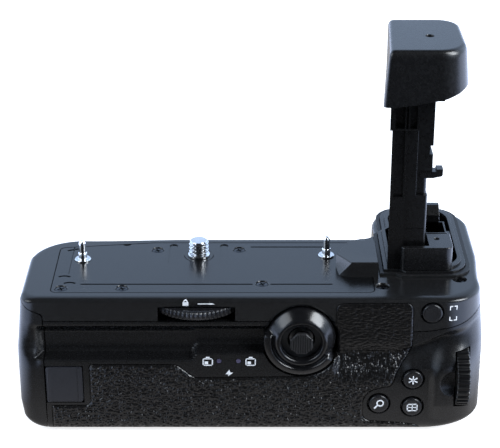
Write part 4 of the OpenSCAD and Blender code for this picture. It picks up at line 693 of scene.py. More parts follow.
# Each half keeps what lies on its side of the split
HALF_X, HALF_Z, HALF_Y = (-120, 200), (-20, 120), 120
rear = copy_of(low, "rear_cover_shell")
half = cuboid("rear_half", HALF_X, (-HALF_Y, SPLIT_Y - GAP / 4), HALF_Z)
combine(rear, [half], "INTERSECT")
combine(rear, [
    joy_seat("seat_rear"),
    button_hole("star_hole", STAR, 3.5),
    button_hole("zoom_hole", ZOOM, 3.5),
    button_hole("grid_hole", GRID, 3.5),
    lathe("dial_slot", [(10.4, DIAL_X - 2.5), (10.4, DIAL_X + 2.5)], (DIAL_Y, DIAL_Z), "x", 96),
    cuboid("cord_seat", (-47.9, -35.7), (-40, -31.45), (11.3, 24.5)),
    cuboid("cord_way", (-45.9, -38.6), (-40, -24), (13.5, 21.9)),
])
# Scoop in the dial's mound, a ball in front of the wall
SCOOP_R, SCOOP_Y = 9.0, -42.1
turns = [math.pi * i / 40 for i in range(41)]
ball = [(SCOOP_R * math.sin(a), SCOOP_Y - SCOOP_R * math.cos(a)) for a in turns]
scoop = lathe("scoop", ball, (81.2, DIAL_Z - 0.3), "y", 72)
combine(rear, [scoop, rubber_bed("bed_rear")])
combine(rear, [hole_y("light_hole", x, LAMP_Z, 0.8, -33.0, -29.0, 0.15, 24) for x in LAMP_X])
finish_piece(rear, CASING, "grip_body", ["rear_cover"], angle=32)

front = copy_of(low, "front_cover_shell")
half = cuboid("front_half", HALF_X, (SPLIT_Y + GAP / 4, HALF_Y), HALF_Z)
combine(front, [half], "INTERSECT")
# Frame of the release button: out of the hand grip's corner
SHUT_A = math.radians(40)
SHUT = np.array([X_RIGHT - GRIP_R * (1 - math.cos(SHUT_A)),
                 GRIP_REACH + GRIP_SWELL - GRIP_R * (1 - math.sin(SHUT_A)), 23.9])
OUT = np.array([math.cos(SHUT_A), math.sin(SHUT_A), 0.0])
SIDE = np.array([-math.sin(SHUT_A), math.cos(SHUT_A), 0.0])
UP = np.array([0.0, 0.0, 1.0])


def shutter_lathe(name, profile, n=56, closed=False):
    """Solid of revolution on the release button's axis."""
    return skin(name, [[tuple(SHUT + OUT * h + SIDE * u + UP * v)
                        for u, v in circle(0, 0, max(r, 1e-4), n)] for r, h in profile], closed)


combine(front, [
    lathe("front_slot", [(8.0, 7.6), (8.0, 13.4)], (FRONT_DIAL[0], FRONT_DIAL[2]), "y", 72),
    shutter_lathe("shutter_room", [(6.6, -8), (6.6, 5)]),
    lathe("function_hole", [(2.7, 86), (2.7, 90.2), (3.0, 90.5), (3.0, 94)], FUNCTION_YZ, "x", 40),
])
finish_piece(front, CASING, "grip_body", ["front_cover"], angle=32)

for spare in (hull, hollow, low):
    discard(spare)


# Rubber on the rear

def edge_distance(x, z, poly):
    d = np.full(x.shape, 99.0)
    for (ax, az), (bx, bz) in zip(poly, poly[1:] + poly[:1]):
        ux, uz = bx - ax, bz - az
        t = np.clip(((x - ax) * ux + (z - az) * uz) / max(ux * ux + uz * uz, 1e-9), 0, 1)
        d = np.minimum(d, np.hypot(x - ax - t * ux, z - az - t * uz))
    return d


step = 0.16
X, Z = np.meshgrid(np.arange(-46.6, 70.4, step), np.arange(1.1, 45.9, step))
near = edge_distance(X, Z, rubber_outline)
wall = rear_wall(X, Z)
# Grain on the field, creases on the thumb pad, sparse dots on the slope below it
on_pad = ease(43.0, 44.0, X) * ease(27.4, 28.6, Z)
slope = ease(41.5, 44.0, X) * ease(29.0, 28.0, Z) * ease(17.5, 23.0, Z)
crease = cells(X * 0.42 + 0.35 * soft_noise(X, Z, 2.1, 6),
               Z * 1.15 + 0.8 * soft_noise(X, Z, 1.9, 5), 0.75, 4)
few = ease(0.45, 0.75, soft_noise(X, Z, 0.7, 11))
depth = (0.6 * leather(X, Z) * (1 - on_pad) * (1 - 0.75 * slope)
         + 0.2 * bead(crease, 1.35) * on_pad + 0.3 * bead(cells(X, Z, 0.6, 7), 1.7) * few * slope)
Y = -(wall + 0.5 * dome(near / 0.3) - 0.35 + depth * ease(0.1, 0.8, near))
pad = sheet("rear_rubber_grip", np.stack([X, Y, Z], -1),
            np.stack([X, RUBBER_BED - 0.05 - wall, Z], -1))
combine(pad, [prism("rubber_region", rubber_outline, -60, -20, "y")], "INTERSECT")
finish_piece(pad, RUBBER, "grip_body", ["rear_rubber"], angle=50, weighted=False)

# Rubber round the hand grip, from a point on the tip's arc to the end of the side
TIP_BARE, GRIP_STEPS, GRIP_EDGE = 10, 170, 0.8
c = COUNTS
first = c["rear_left"] + c["rear"] + c["rear_right"] + c["right"] + TIP_BARE
last = first + 2 * c["tip"] - TIP_BARE + c["end"] + c["side"]
zs = np.arange(8.2, 32.0, 0.35)
outer, inside = [], []
for z in zs:
    # Both faces run along the outline at an even step of the outer one
    seg, back = (outline(z, d, flat=True)[first:last] for d in (1.0, -0.4))
    run = np.concatenate([[0], np.cumsum(np.hypot(*np.diff(seg, axis=0).T))])
    u = np.linspace(0, run[-1], GRIP_STEPS)
    for rows, line in ((outer, seg), (inside, back)):
        rows.append(np.stack([np.interp(u, run, line[:, k]) for k in (0, 1)], -1))
outer, inside = np.array(outer), np.array(inside)
tangent = np.gradient(outer, axis=1)
tangent /= np.linalg.norm(tangent, axis=2, keepdims=True)
normal = np.stack([tangent[..., 1], -tangent[..., 0]], -1)
U, V = np.meshgrid(np.arange(GRIP_STEPS) * 0.36, zs)
edge = np.minimum(np.minimum(V - zs[0], zs[-1] - V), np.minimum(U, U.max() - U))
drop = GRIP_EDGE * (1 - dome(edge / GRIP_EDGE))
outer = outer + normal * (0.28 * leather(U, V) * ease(0.2, 1, edge) - drop)[..., None]
grip = sheet("front_rubber_grip", np.concatenate([outer, V[..., None]], -1),
             np.concatenate([inside, V[..., None]], -1))
finish_piece(grip, RUBBER, "grip_body", ["front_rubber"], angle=50, weighted=False)


# Mounting plate with its grooves, slots and screw seats
plate = prism("mount_plate_top", plate_outline(0.0), PLATE_Z, TOP_Z, "z", 0.15)
seat = [(1.95, 40), (1.95, 46.75), (2.2, 47.01), (2.2, OVER)]
bush = [(4.65, 40), (4.65, 46.8), (4.85, 47.01), (4.85, OVER)]
cuts = [lathe("bush_hole", bush, (0, 0), "z", 56)]
cuts += [lathe("pin_hole", [(1.5, 40), (1.5, OVER)], p, "z", 24) for p in PINS]
cuts += [lathe("screw_seat", seat, p, "z", 32) for p in SCREWS]
for x in (-8.5, 8.1):
    cuts.append(prism("slot", round_rect((x - 1.3, x + 1.3), (-6.7, 8.6), 1.25), 46.7, OVER))
for x0, x1, y in ((-36.7, 17.5, -20.7), (22.9, 42.6, -20.7), (16.8, 42.6, 6.4)):
    cuts.append(prism("groove", round_rect((x0, x1), (y - 0.35, y + 0.35), 0.3, 3), 46.4, OVER))
cuts.append(lathe("half_hole", [(1.5, 46.2), (1.5, OVER)], (-24.0, 8.8), "z", 32))
for cx, cy in ((-42.2, -17.7), (-40.1, -22.3)):
    bow = arc_points(cx, cy, 3.2, 130, 50, 8) + arc_points(cx, cy, 2.4, 50, 130, 8)
    cuts.append(prism("arc_slot", bow, 46.2, OVER))
cuts.append(prism("step_line", round_rect((-41.2, -40.9), (-13.5, 8.0), 0.1, 2), 46.6, OVER))
slant = [(-42.9, 3.2), (-39.4, 4.6), (-39.8, 5.4), (-43.3, 4.0)]
cuts.append(prism("corner_slot", slant, 46.4, OVER))
combine(plate, cuts)
finish_piece(plate, PLATE, "grip_body", ["mount_plate"], angle=32)


# Cross-head screws

def cross_screw(name, x, y, z, up=1):
    """Screw head whose face is at z, with a cross cut into it; up is 1 or -1."""
    r, half_l, half_w = 1.9, 1.15, 0.26
    profile = [(0.05, -1.5), (r, -1.5), (r, -0.25), (r - 0.1, -0.08), (r - 0.3, 0), (0.05, 0.06)]
    head = lathe(name, [(q, z + up * h) for q, h in profile], (x, y), "z", 40)
    arms = []
    for a in (25, 115):
        ca, sa = math.cos(math.radians(a)), math.sin(math.radians(a))
        corners = ((-half_l, -half_w), (half_l, -half_w), (half_l, half_w), (-half_l, half_w))
        pts = [(x + ca * u - sa * v, y + sa * u + ca * v) for u, v in corners]
        arms.append(prism("arm", pts, *sorted((z - up * 0.75, z + up * 2))))
    return combine(head, arms)


heads = [cross_screw("plate_screw_heads", *p, 46.8) for p in SCREWS]
heads += [cross_screw("cover_screw", *p, 46.15) for p in COVER_SCREWS]
finish_piece(join(heads), DARK_STEEL, "grip_body", ["plate_screws"], angle=32)
heads = [cross_screw("base_screw_heads", x, y, 0.25, -1)
         for x in (-34.0, 54.2) for y in (-17.0, 9.0)]
finish_piece(join(heads), DARK_STEEL, "grip_body", ["base_screws"], angle=32)


# Attachment screw with a real helix

def thread(name, z0, z1, major, minor, pitch, n=72):
    """Thread on the Z axis whose crests fade out over the last 0.45 mm."""
    rings = []
    for z in np.arange(z0, z1 + 0.01, pitch / 14):
        limit = minor + (major - minor) * max(0.0, (z1 - z) / 0.45) + 0.1
        ring = []
        for i in range(n):
            a = 2 * math.pi * i / n
            flank = abs(((z - z0) / pitch - i / n) % 1.0 - 0.5) * 2
            r = min(limit, minor + (major - minor) * share(flank, 0.16, 0.8))
            ring.append((r * math.cos(a), r * math.sin(a), z))
        rings.append(ring)
    return skin(name, rings)


screw = thread("camera_screw_thread", 48.0, 52.45, 3.175, 2.4, 1.27)
stem = lathe("stem", [(0.01, 36.9), (2.2, 36.9), (2.2, 38.7), (3.175, 38.7), (3.175, 47.05),
                      (3.35, 47.1), (3.5, 47.25), (3.5, 47.75), (3.3, 47.95), (2.7, 48.05),
                      (0.01, 48.05)], (0, 0))
crown = lathe("crown", [(0.01, 52.3), (2.6, 52.3), (2.72, 52.42), (2.6, 52.56), (2.3, 52.6),
                        (0.01, 52.6)], (0, 0))
finish_piece(join([screw, stem, crown]), CHROME, "camera_screw", ["camera_screw"])

# Locating pins
pin = [(0.01, 45.2), (1.45, 45.2), (1.45, 47.0), (2.5, 47.0), (2.6, 47.1), (2.6, 47.35),
       (2.45, 47.5), (1.5, 47.55), (1.4, 47.65), (1.4, 49.5), (1.32, 49.6), (1.15, 49.8),
       (1.15, 52.7), (1.1, 53.0), (0.9, 53.35), (0.55, 53.7), (0.4, 53.88), (0.01, 53.9)]
pins = [lathe("locating_pin_pair", pin, p, "z", 48) for p in PINS]
finish_piece(join(pins), CHROME, "grip_body", ["locating_pins"])

# Lock wheel: knurled rim with rounded edges, and its gear below
KNURLS, TEETH = 72, 33
rim_rings = []
for r, z in ((13.9, 41.0), (14.6, 41.05), (15.0, 41.3), (15.2, 41.7), (15.2, 43.2), (15.0, 43.6),
             (14.5, 43.85), (13.6, 43.9)):
    knurl = 0.34 if 14.8 < r else 0.1
    ring = []
    for i in range(KNURLS * 8):
        a = 2 * math.pi * i / (KNURLS * 8)
        q = r - knurl * (0.5 - 0.5 * math.cos(KNURLS * a)) ** 0.7
        ring.append((q * math.cos(a), WHEEL_Y + q * math.sin(a), z))
    rim_rings.append(ring)
teeth = []
for i in range(TEETH):
    for k, r in ((-0.29, 9.18), (-0.11, 10.4), (0.11, 10.4), (0.29, 9.18)):
        a = math.radians(90 + 360 * (i + k) / TEETH)
        teeth.append((r * math.cos(a), WHEEL_Y + r * math.sin(a)))
wheel = join([skin("lock_wheel_rim", rim_rings), prism("wheel_gear", teeth, 38.8, 41.0, "z", 0.1)])
finish_piece(wheel, CONTROL, "lock_wheel", ["lock_wheel"])

# Joystick's collar: a cone that turns into a crescent guard at the lower left
lip = [(6.1, -31.6), (6.1, -32.6), (6.2, -33.4), (6.5, -34.0), (6.95, -34.35), (7.4, -34.35),
       (7.8, -34.1)]
cone = lip + [(8.4, -33.5), (9.1, -32.7), (9.7, -32.0), (10.2, -31.4), (10.55, -30.9),
              (10.75, -30.4), (10.8, -29.8), (10.8, -26.0), (6.6, -26.0), (6.6, -31.5)]
guard = lip + [(8.4, -33.4), (8.9, -32.85), (9.25, -33.0), (9.55, -33.7), (9.9, -33.9),
               (11.4, -33.45), (11.8, -32.9), (11.8, -27.9), (6.6, -27.0), (6.6, -31.5)]
COLLAR_STEPS = 192
collar_rings = []
for (r0, y0), (r1, y1) in zip(cone, guard):
    ring = []
    for i in range(COLLAR_STEPS):
        a = 360 * i / COLLAR_STEPS
        g = float(ease(160, 170, a) if a < 250 else ease(338, 324, a))
        r, y = r0 + (r1 - r0) * g, y0 + (y1 - y0) * g
        a = math.radians(a)
        ring.append((JOY_X + r * math.cos(a), y, JOY_Z + r * math.sin(a)))
    collar_rings.append(ring)
collar = skin("joystick_collar_ring", collar_rings, closed=True)
finish_piece(collar, GLOSS, "grip_body", ["joystick_collar"], angle=50)

# Stick: eight-sided cap with ridges on a waisted stem
CAP_Y, RIDGE_STEP = -35.0, 0.72
eight = arc_points(JOY_X, JOY_Z, 3.8, 22.5, 22.5 + 315, 7)
stick = [prism("joystick_cap", eight, CAP_Y + 0.25, CAP_Y + 1.8, "y", 0.35, 3)]
for k in range(-4, 5):
    x = JOY_X + RIDGE_STEP * k
    half = min(3.2, 3.55 - RIDGE_STEP * abs(k) * (0.35 if abs(k) < 3 else 0.55))
    section = ((-0.26, 0.35), (0.26, 0.35), (0.1, -0.02), (-0.1, -0.02))
    pts = [(x + u, CAP_Y + v) for u, v in section]
    stick.append(prism("ridge", pts, JOY_Z - half, JOY_Z + half))
stick.append(lathe("stalk", [(0.01, CAP_Y + 1.7), (1.9, CAP_Y + 1.7), (1.5, CAP_Y + 2.4),
                             (1.5, -28.7), (0.01, -28.7)], (JOY_X, JOY_Z), "y", 32))
stick.append(lathe("trunnion", [(0.5, JOY_X - 3.3), (0.5, JOY_X + 3.3)], (JOY_Y, JOY_Z), "x", 20))
finish_piece(join(stick), STICK, "joystick_stick", ["joystick_stick"], angle=30)


# Buttons with dished tops

def button(name, place, body):
    """Button on the rear, which stands 0.7 mm out of the casing's face."""
    x, z, face, stem = place
    top, inner = face - 0.7, face + 2
    dish = ((0.01, 0.12), (1.6, 0.08), (2.4, 0.02), (2.75, 0.03), (2.98, 0.16), (3.1, 0.45))
    back = [(3.1, inner + 0.3), (1.2, inner + 0.3), (1.2, stem), (0.01, stem)]
    cap = lathe(name, [(r, top + h) for r, h in dish] + back, (x, z), "y", 56)
    wing = cuboid("wing", (x - 4.2, x + 4.2), (inner + 0.2, inner + 1.0), (z - 1.8, z + 1.8), 0.1)
    finish_piece(join([cap, wing]), CONTROL, body, [body])


button("focus_button_cap", FOCUS, "af_button")
button("star_button_cap", STAR, "star_button")
button("zoom_button_cap", ZOOM, "zoom_button")
button("grid_button_cap", GRID, "grid_button")


# Dials with rounded ribs

def ribbed(name, r, w, ribs, centre, axis, bore=1.05):
    """Dial of radius r and width w about an axis through its centre."""
    profile = [(r - 1.2, 0.0), (r - 0.35, 0.05), (r - 0.08, 0.25), (r, 0.5), (r, w - 0.5),
               (r - 0.08, w - 0.25), (r - 0.35, w - 0.05), (r - 1.2, w), (bore, w), (bore, 0.0)]
    rings = []
    for q, t in profile:
        ring = []
        for i in range(ribs * 10):
            a = 2 * math.pi * i / (ribs * 10)
            groove = 0.5 + 0.5 * math.tanh((abs((i % 10) / 10 - 0.5) - 0.27) * -14)
            cut = q - (0.75 * groove if q > r - 1.0 else 0.0)
            local = along(axis, (cut * math.cos(a), cut * math.sin(a)), t - w / 2)
            ring.append(tuple(m + n for m, n in zip(centre, local)))
        rings.append(ring)
    return skin(name, rings, closed=True)


finish_piece(ribbed("rear_dial_wheel", 10.0, 4.2, 30, (DIAL_X, DIAL_Y, DIAL_Z), "x"),
             DIAL, "rear_dial", ["rear_dial"])
finish_piece(ribbed("front_dial_wheel", 7.6, 5.0, 24, FRONT_DIAL, "y"),
             DIAL, "front_dial", ["front_dial"])

# Release button on the hand grip and its ring, and the function button
finish_piece(shutter_lathe("shutter_button_cap", [
    (0.01, -6.4), (1.2, -6.4), (1.2, -4.4), (5.6, -4.4), (5.6, -3.4), (5.0, -3.4), (5.0, 0.7),
    (4.85, 1.1), (4.5, 1.35), (3.6, 1.4), (2.0, 1.2), (0.01, 1.1)], 64),
    CONTROL, "shutter_button", ["shutter_button"])
finish_piece(shutter_lathe("shutter_ring", [
    (5.15, -3.2), (5.75, -3.2), (5.75, -6.2), (6.5, -6.2), (6.5, 0.2), (6.35, 0.45), (6.0, 0.6),
    (5.5, 0.55), (5.2, 0.3)], 64, True), GLOSS, "grip_body", ["shutter_bezel"])
finish_piece(lathe("function_button_cap", [
    (0.01, 85.8), (1.2, 85.8), (1.2, 87.4), (3.2, 87.4), (3.2, 88.2), (2.4, 88.2), (2.4, 90.7),
    (2.25, 90.95), (1.9, 91.08), (0.9, 91.0), (0.01, 90.95)], FUNCTION_YZ, "x", 48),
    CONTROL, "function_button", ["function_button"])

# Release knob with its finger bar
knob = lathe("release_knob_disc", [(0.01, -56.0), (8.3, -56.0), (8.75, -55.85), (9.0, -55.5),
                                   (9.0, -53.6), (0.01, -53.6)], TRAY_YZ, "x", 72)
finger = [(5.9, -60), (5.9, -56.05), (5.5, -55.6), (5.2, -54.6)]
combine(knob, [lathe("finger", finger, (TRAY_YZ[0] + s, TRAY_YZ[1]), "x", 56) for s in (-7.3, 7.3)])
finish_piece(knob, CONTROL, "release", ["release_knob"])

# Flap of the cord passage
flap = prism("cord_flap", round_rect((-47.5, -36.0), (11.6, 24.2), 1.0, 5), -33.1, -31.6, "y", 0.2)
roll = lathe("roll", [(0.01, 11.5), (0.7, 11.5), (0.8, 11.6), (0.8, 23.8), (0.7, 23.9),
                      (0.01, 23.9)], (-46.7, -32.4), "z", 32)
ridge = prism("ridge", round_rect((-37.5, -36.2), (11.9, 23.9), 0.6, 3), -33.3, -32.9, "y", 0.15)
finish_piece(join([flap, roll, ridge]), FLAP, "cord_cover", ["cord_cover"])


# Tower: plinth with its ledges

def plinth(d):
    r, l, b = X_RIGHT - 4.6 + d, TOWER_X0 - 1.1 - d, TOWER_Y0 - 0.8 - d
    far, y1 = l + 1.6, 35.0 + d - 9
    return ([(l, b), (l + 5, b), (l + 7, b - 1.8)] + arc_points(r - 8, b + 6.2, 8, 290, 360, 10)
            + arc_points(r - 9, y1, 9, 0, 90, 12) + arc_points(far + 9, y1, 9, 90, 180, 12)
            + [(far, TOWER_Y1 + 1), (l, TOWER_Y1 - 1)])


base = prism("tower_plinth", plinth(0), TOP_Z, TOP_Z + 1.6, "z", 0.3)
ledge = prism("plinth_ledge", plinth(-1.3), TOP_Z + 1.0, TOP_Z + 2.4, "z", 0.25)
combine(ledge, [prism("plinth_in", plinth(-2.5), TOP_Z + 1.6, TOP_Z + 6)])
combine(base, [cuboid("slot_hole", (81.0, 83.2), (13.0, 15.4), (47.6, OVER))])
finish_piece(join([base, ledge]), CASING, "grip_body", ["tower_base"])


# Cap over the tower's head

def head_outline(d, left=0.0, lean=TOWER_LEAN):
    """Head's plan grown by d, its left side drawn in by left and by lean more at the far end."""
    x0, x1, y0, y1 = 59.9 - d + left, 80.6 + d, -13.1 - d, 16.0 + d
    r, near_r, far_r = 0.6 + 0.3 * max(d, 0.0), 8.0 + 0.4 * d, 6.0 + 0.3 * d
    return (arc_points(x0 + r, y0 + r, r, 180, 270, 6)
            + arc_points(x1 - near_r, y0 + near_r, near_r, 270, 360, 16)
            + arc_points(x1 - far_r, y1 - far_r, far_r, 0, 90, 16)
            + arc_points(x0 + lean + r, y1 - r, r, 90, 180, 6))


cover_levels = ((103.4, 3.1, 3.25), (105.1, 3.0, 3.2), (112.0, 2.45, 2.7), (118.8, 1.9, 2.1),
                (120.0, 1.75, 1.95), (120.7, 1.55, 1.95), (121.25, 1.2, 1.95), (121.6, 0.7, 1.95),
                (121.75, 0.1, 1.95))
cover = skin("contact_cover_cap", [level(head_outline(d, 0.15, lean), z)
                                   for z, d, lean in cover_levels])
slant = [(30, 90), (30, 104.0), (57, 104.2), (60, 104.2), (62, 104.4), (66, 104.95), (70, 105.6),
         (76, 106.8), (80, 108.1), (83.6, 109.6), (110, 121), (110, 90)]
hole = [(1.3, 120.4), (1.3, 121.5), (1.45, 121.8), (1.45, 125)]
combine(cover, [
    prism("cover_room", head_outline(0.35), 100, 120.05),
    prism("cover_slant", slant, -60, 60, "y"),
    lathe("cover_hole", hole, (71.7, 0.0), "z", 28),
])
finish_piece(cover, CASING, "contact_cover", ["contact_cover"], angle=35)


# Column: two faces and a stepped plate at its right, a collar with pockets under the head

def lean_prism(name, x, y, z, edge):
    pts = [(x[0], y[0]), (x[1], y[0]), (x[1], y[1]), (x[0] + COLUMN_LEAN, y[1])]
    return prism(name, pts, *z, "z", edge)


def edge_round(name, x, y, z, r):
    """Upright block with its near right edge rounded."""
    bend = arc_points(x[1] - r, y[0] + r, r, 270, 360, 6)
    return prism(name, [(x[0], y[0])] + bend + [(x[1], y[1]), (x[0], y[1])], *z, "z", 0.12)


STEP_Y = (TOWER_Y0 + 2, 14.0)
TALL = (TOWER_FLOOR, HEAD_Z)
column = lean_prism("tower_column_body", (TOWER_X0, 64.9), (TOWER_Y0, TOWER_Y1), TALL, 0.15)
collar = lean_prism("collar", (59.4, 68.4), (-13.1, TOWER_Y1), (COLLAR_Z, HEAD_Z), 0.2)
combine(column, [collar], "UNION")
combine(column, [cuboid("groove", (61.2, 64.2), (-14, TOWER_Y0 + 0.9), (73.3, 95.4))])
combine(column, [cuboid("pocket", x, (-14, -11.0), (COLLAR_Z + 0.6, HEAD_Z + 2))
                 for x in ((61.0, 63.95), (64.35, 65.0), (65.5, 67.7))])
combine(column, [
    edge_round("right_face", (64.5, 68.4), (TOWER_Y0 + 0.9, TOWER_Y1), TALL, 0.15),
    edge_round("low_step", (67.0, 72.0), (TOWER_Y0 + 0.9, STEP_Y[1]), (TOWER_FLOOR, WAIST_Z), 0.7),
    edge_round("mid_step", (67.0, 71.7), STEP_Y, (WAIST_Z - 0.5, PLATE_FOOT_Z + 0.5), 1.0),
    edge_round("side_plate", (67.0, 73.3), STEP_Y, (PLATE_FOOT_Z, HEAD_Z), 0.15),
], "UNION")
combine(column, [cuboid("plate_notch", (72.2, 80), (-20, TOWER_Y0 + 10), (86.8, 89.7)),
                 cuboid("foot_line", (64.8, 71.3), (-20, TOWER_Y0 + 1.1), (61.9, 62.2))])
finish_piece(column, TOWER, "grip_body", ["tower_column"])

hook = prism("door_hook_body", [(69.6, 79.3), (71.0, 78.9), (73.5, 78.9), (75.8, 79.4)]
             + arc_points(75.8, 80.2, 0.8, 290, 360, 5)
             + [(76.6, 81.9), (74.6, 81.9), (74.5, 81.1), (69.6, 81.1)], -10.9, -7.2, "y", 0.15)
finish_piece(hook, TOWER, "grip_body", ["door_hook"])

# Clip box with thin walls, and the post behind it with a sloping top
clip = cuboid("door_socket_body", (73.0, 80.0), (-2.0, 7.0), (TOWER_FLOOR, 56.0), 0.1)
combine(clip, [cuboid("clip_room", (73.5, 79.5), (-1.5, 6.5), (TOWER_FLOOR + 1, OVER))])
post = prism("post", [(6.5, TOWER_FLOOR), (6.5, 58.4), (9.2, 61.0), (11.0, 61.0),
                      (11.0, TOWER_FLOOR)], 73.4, 78.4, "x", 0.12)
finish_piece(join([clip, post]), TOWER, "grip_body", ["door_socket"])

# Block in front of the column's foot
x0, x1, y1 = 64.3, 80.8, TOWER_Y0 - 0.1
foot = prism("foot_block_body", [(x0, y1)] + arc_points(x0 + 1.6, y1 - 0.4, 1.6, 180, 270, 8)
             + arc_points(x1 - 2.4, y1 + 0.4, 2.4, 270, 360, 8)
             + [(x1, y1 + 9), (73.1, y1 + 9), (73.1, y1)], TOWER_FLOOR, 56.6, "z", 0.35, 3)
combine(foot, [lathe("foot_hole", [(0.75, 54.4), (0.75, 56.3), (1.0, 56.65), (1.0, OVER)],
                     (76.1, y1 + 5), "z", 24)])
finish_piece(foot, CASING, "grip_body", ["foot_block"])

# Wedge beside the tower: its foot, its upper rim and its top, measured from its right side
wedge_levels = (
    (TOP_Z, [(-8.8, 2), (-13.2, -7.9), (-12.4, -14.4), (-9, -15.8), (0, -15.8), (0, 2)]),
    (51.2, [(-8.55, 2), (-13.02, -7.9), (-8.7, -14.55), (-8.4, -14.6), (0, -14.6), (0, 2)]),
    (51.5, [(-8.4, 1.8), (-12.7, -7.9), (-8.5, -14.2), (-8.3, -14.25), (-0.2, -14.25),
            (-0.2, 1.8)]))
x1 = TOWER_X0 - 2.9
wedge = skin("wedge_block_body", [[(x1 + x, y, z) for x, y in pts] for z, pts in wedge_levels])
tab = cuboid("wedge_tab", (x1 - 5.2, x1 - 3.2), (1.4, 3.0), (TOP_Z, 51.1), 0.15)
finish_piece(join([wedge, tab]), BAND, "grip_body", ["wedge_block"],
             angle=25, weighted=False)


# Printed signs, a thin skin of paint on the surfaces

def stroke(points, w, close=False):
    """Line of width w through points in X and Z, as one quad per stretch."""
    out = []
    pts = [np.array(p, float) for p in points]
    for p, q in zip(pts, pts[1:] + pts[:1] if close else pts[1:]):
        d = (q - p) / max(np.linalg.norm(q - p), 1e-9)
        n = np.array([-d[1], d[0]]) * w / 2
        e = d * w / 2
        out.append([p - e - n, q + e - n, q + e + n, p - e + n])
    return out


def box_points(x, z, half, z0, z1):
    return [(x - half, z + z0), (x + half, z + z0), (x + half, z + z1), (x - half, z + z1)]


def ring_poly(cx, cz, r, w, a0=0, a1=360, n=28):
    inner, outer = (arc_points(cx, cz, r + k * w / 2, a0, a1, n) for k in (-1, 1))
    return [[inner[i], outer[i], outer[i + 1], inner[i + 1]] for i in range(n)]


def sign(name, polys, y_at, body, thick=0.03):
    """Flat shapes in X and Z laid on the surface whose Y is y_at(x, z)."""
    verts, faces = [], []
    for poly in polys:
        k, m = len(verts), len(poly)
        for off in (-thick, 0.05):
            verts += [(px, y_at(px, pz) + off, pz) for px, pz in poly]
        faces.append(tuple(range(k, k + m)))
        faces.append(tuple(range(k + 2 * m - 1, k + m - 1, -1)))
        for i in range(m):
            j = (i + 1) % m
            faces.append((k + j, k + i, k + m + i, k + m + j))
    finish_piece(make(name, verts, faces), PRINT, body, angle=30, weighted=False)


def rear_y(x, z):
    return -float(rear_wall(x, z))


def cap_y(x, z):
    """Top of the lower buttons."""
    return STAR[2] - 0.69


def corner_y(x, z):
    """Rear surface with the casing's rounded right corner."""
    r = REAR_RIGHT_R
    run = max(x - (wall_right(z) - r), 0.0)
    return rear_y(x, z) + r - math.sqrt(max(r * r - run * run, 0.0))


# Padlock and arrow over the lock wheel
lock = [box_points(-3.3, 44.75, 0.9, 0, 1.25)] + ring_poly(-3.3, 45.95, 0.55, 0.24, 0, 180, 10)
arrow = stroke([(0.6, 45.4), (4.4, 45.4)], 0.34) + [[(4.1, 45.15), (5.7, 45.25), (4.1, 46.05)]]
sign("lock_sign", lock + arrow, rear_y, "grip_body")


# Battery signs beside the lamps and a bolt between them

def battery_sign(x, z):
    return (stroke(box_points(x, z, 1.45, -1.35, 0.95), 0.34, True)
            + [box_points(x, z, 0.6, 1.0, 1.65), box_points(x - 0.45, z, 0.55, -0.95, 0.0)])


bolt = [[(10.1, 23.2), (8.9, 21.6), (9.9, 21.6)], [(9.9, 21.6), (10.1, 23.2), (10.5, 22.2)],
        [(10.5, 22.2), (9.9, 21.6), (9.7, 20.9)], [(10.5, 22.2), (9.7, 20.9), (11.3, 22.2)]]
sign("battery_sign_left", battery_sign(3.4, 26.2), rear_y, "grip_body")
sign("battery_sign_right", battery_sign(16.8, 26.2), rear_y, "grip_body")
sign("charge_sign", bolt, rear_y, "grip_body")

# Signs on the buttons
sx, sz = STAR[:2]
star_lines = []
for a in (90, 30, 150):
    dx, dz = 1.35 * math.cos(math.radians(a)), 1.35 * math.sin(math.radians(a))
    star_lines += stroke([(sx - dx, sz - dz), (sx + dx, sz + dz)], 0.36)
sign("star_sign", star_lines, cap_y, "star_button")
zx, zz = ZOOM[:2]
glass = ring_poly(zx + 0.4, zz + 0.45, 1.0, 0.42)
handle = stroke([(zx - 0.65, zz - 0.6), (zx - 1.25, zz - 1.25)], 0.5)
sign("zoom_sign", glass + handle, cap_y, "zoom_button")
qx, qz = GRID[:2]
grid_lines = stroke(box_points(qx, qz, 1.55, -1.15, 1.15), 0.36, True)
grid_lines += stroke([(qx, qz - 1.1), (qx, qz + 1.1)], 0.3)
grid_lines += stroke([(qx - 1.5, qz), (qx + 1.5, qz)], 0.3)
sign("grid_sign", grid_lines, cap_y, "grid_button")

# Focus corners beside the focus button, on the rounded corner of the casing
fx, fz = 79.6, 42.0
corners = []
for a, b in ((-1, 1), (1, 1), (1, -1), (-1, -1)):
    corners += stroke([(fx + a * 1.05, fz + b * 1.3), (fx + a * 1.05, fz + b * 2.4),
                       (fx + a * 0.35, fz + b * 2.4)], 0.3)
sign("focus_sign", corners, corner_y, "grip_body", 0.06)


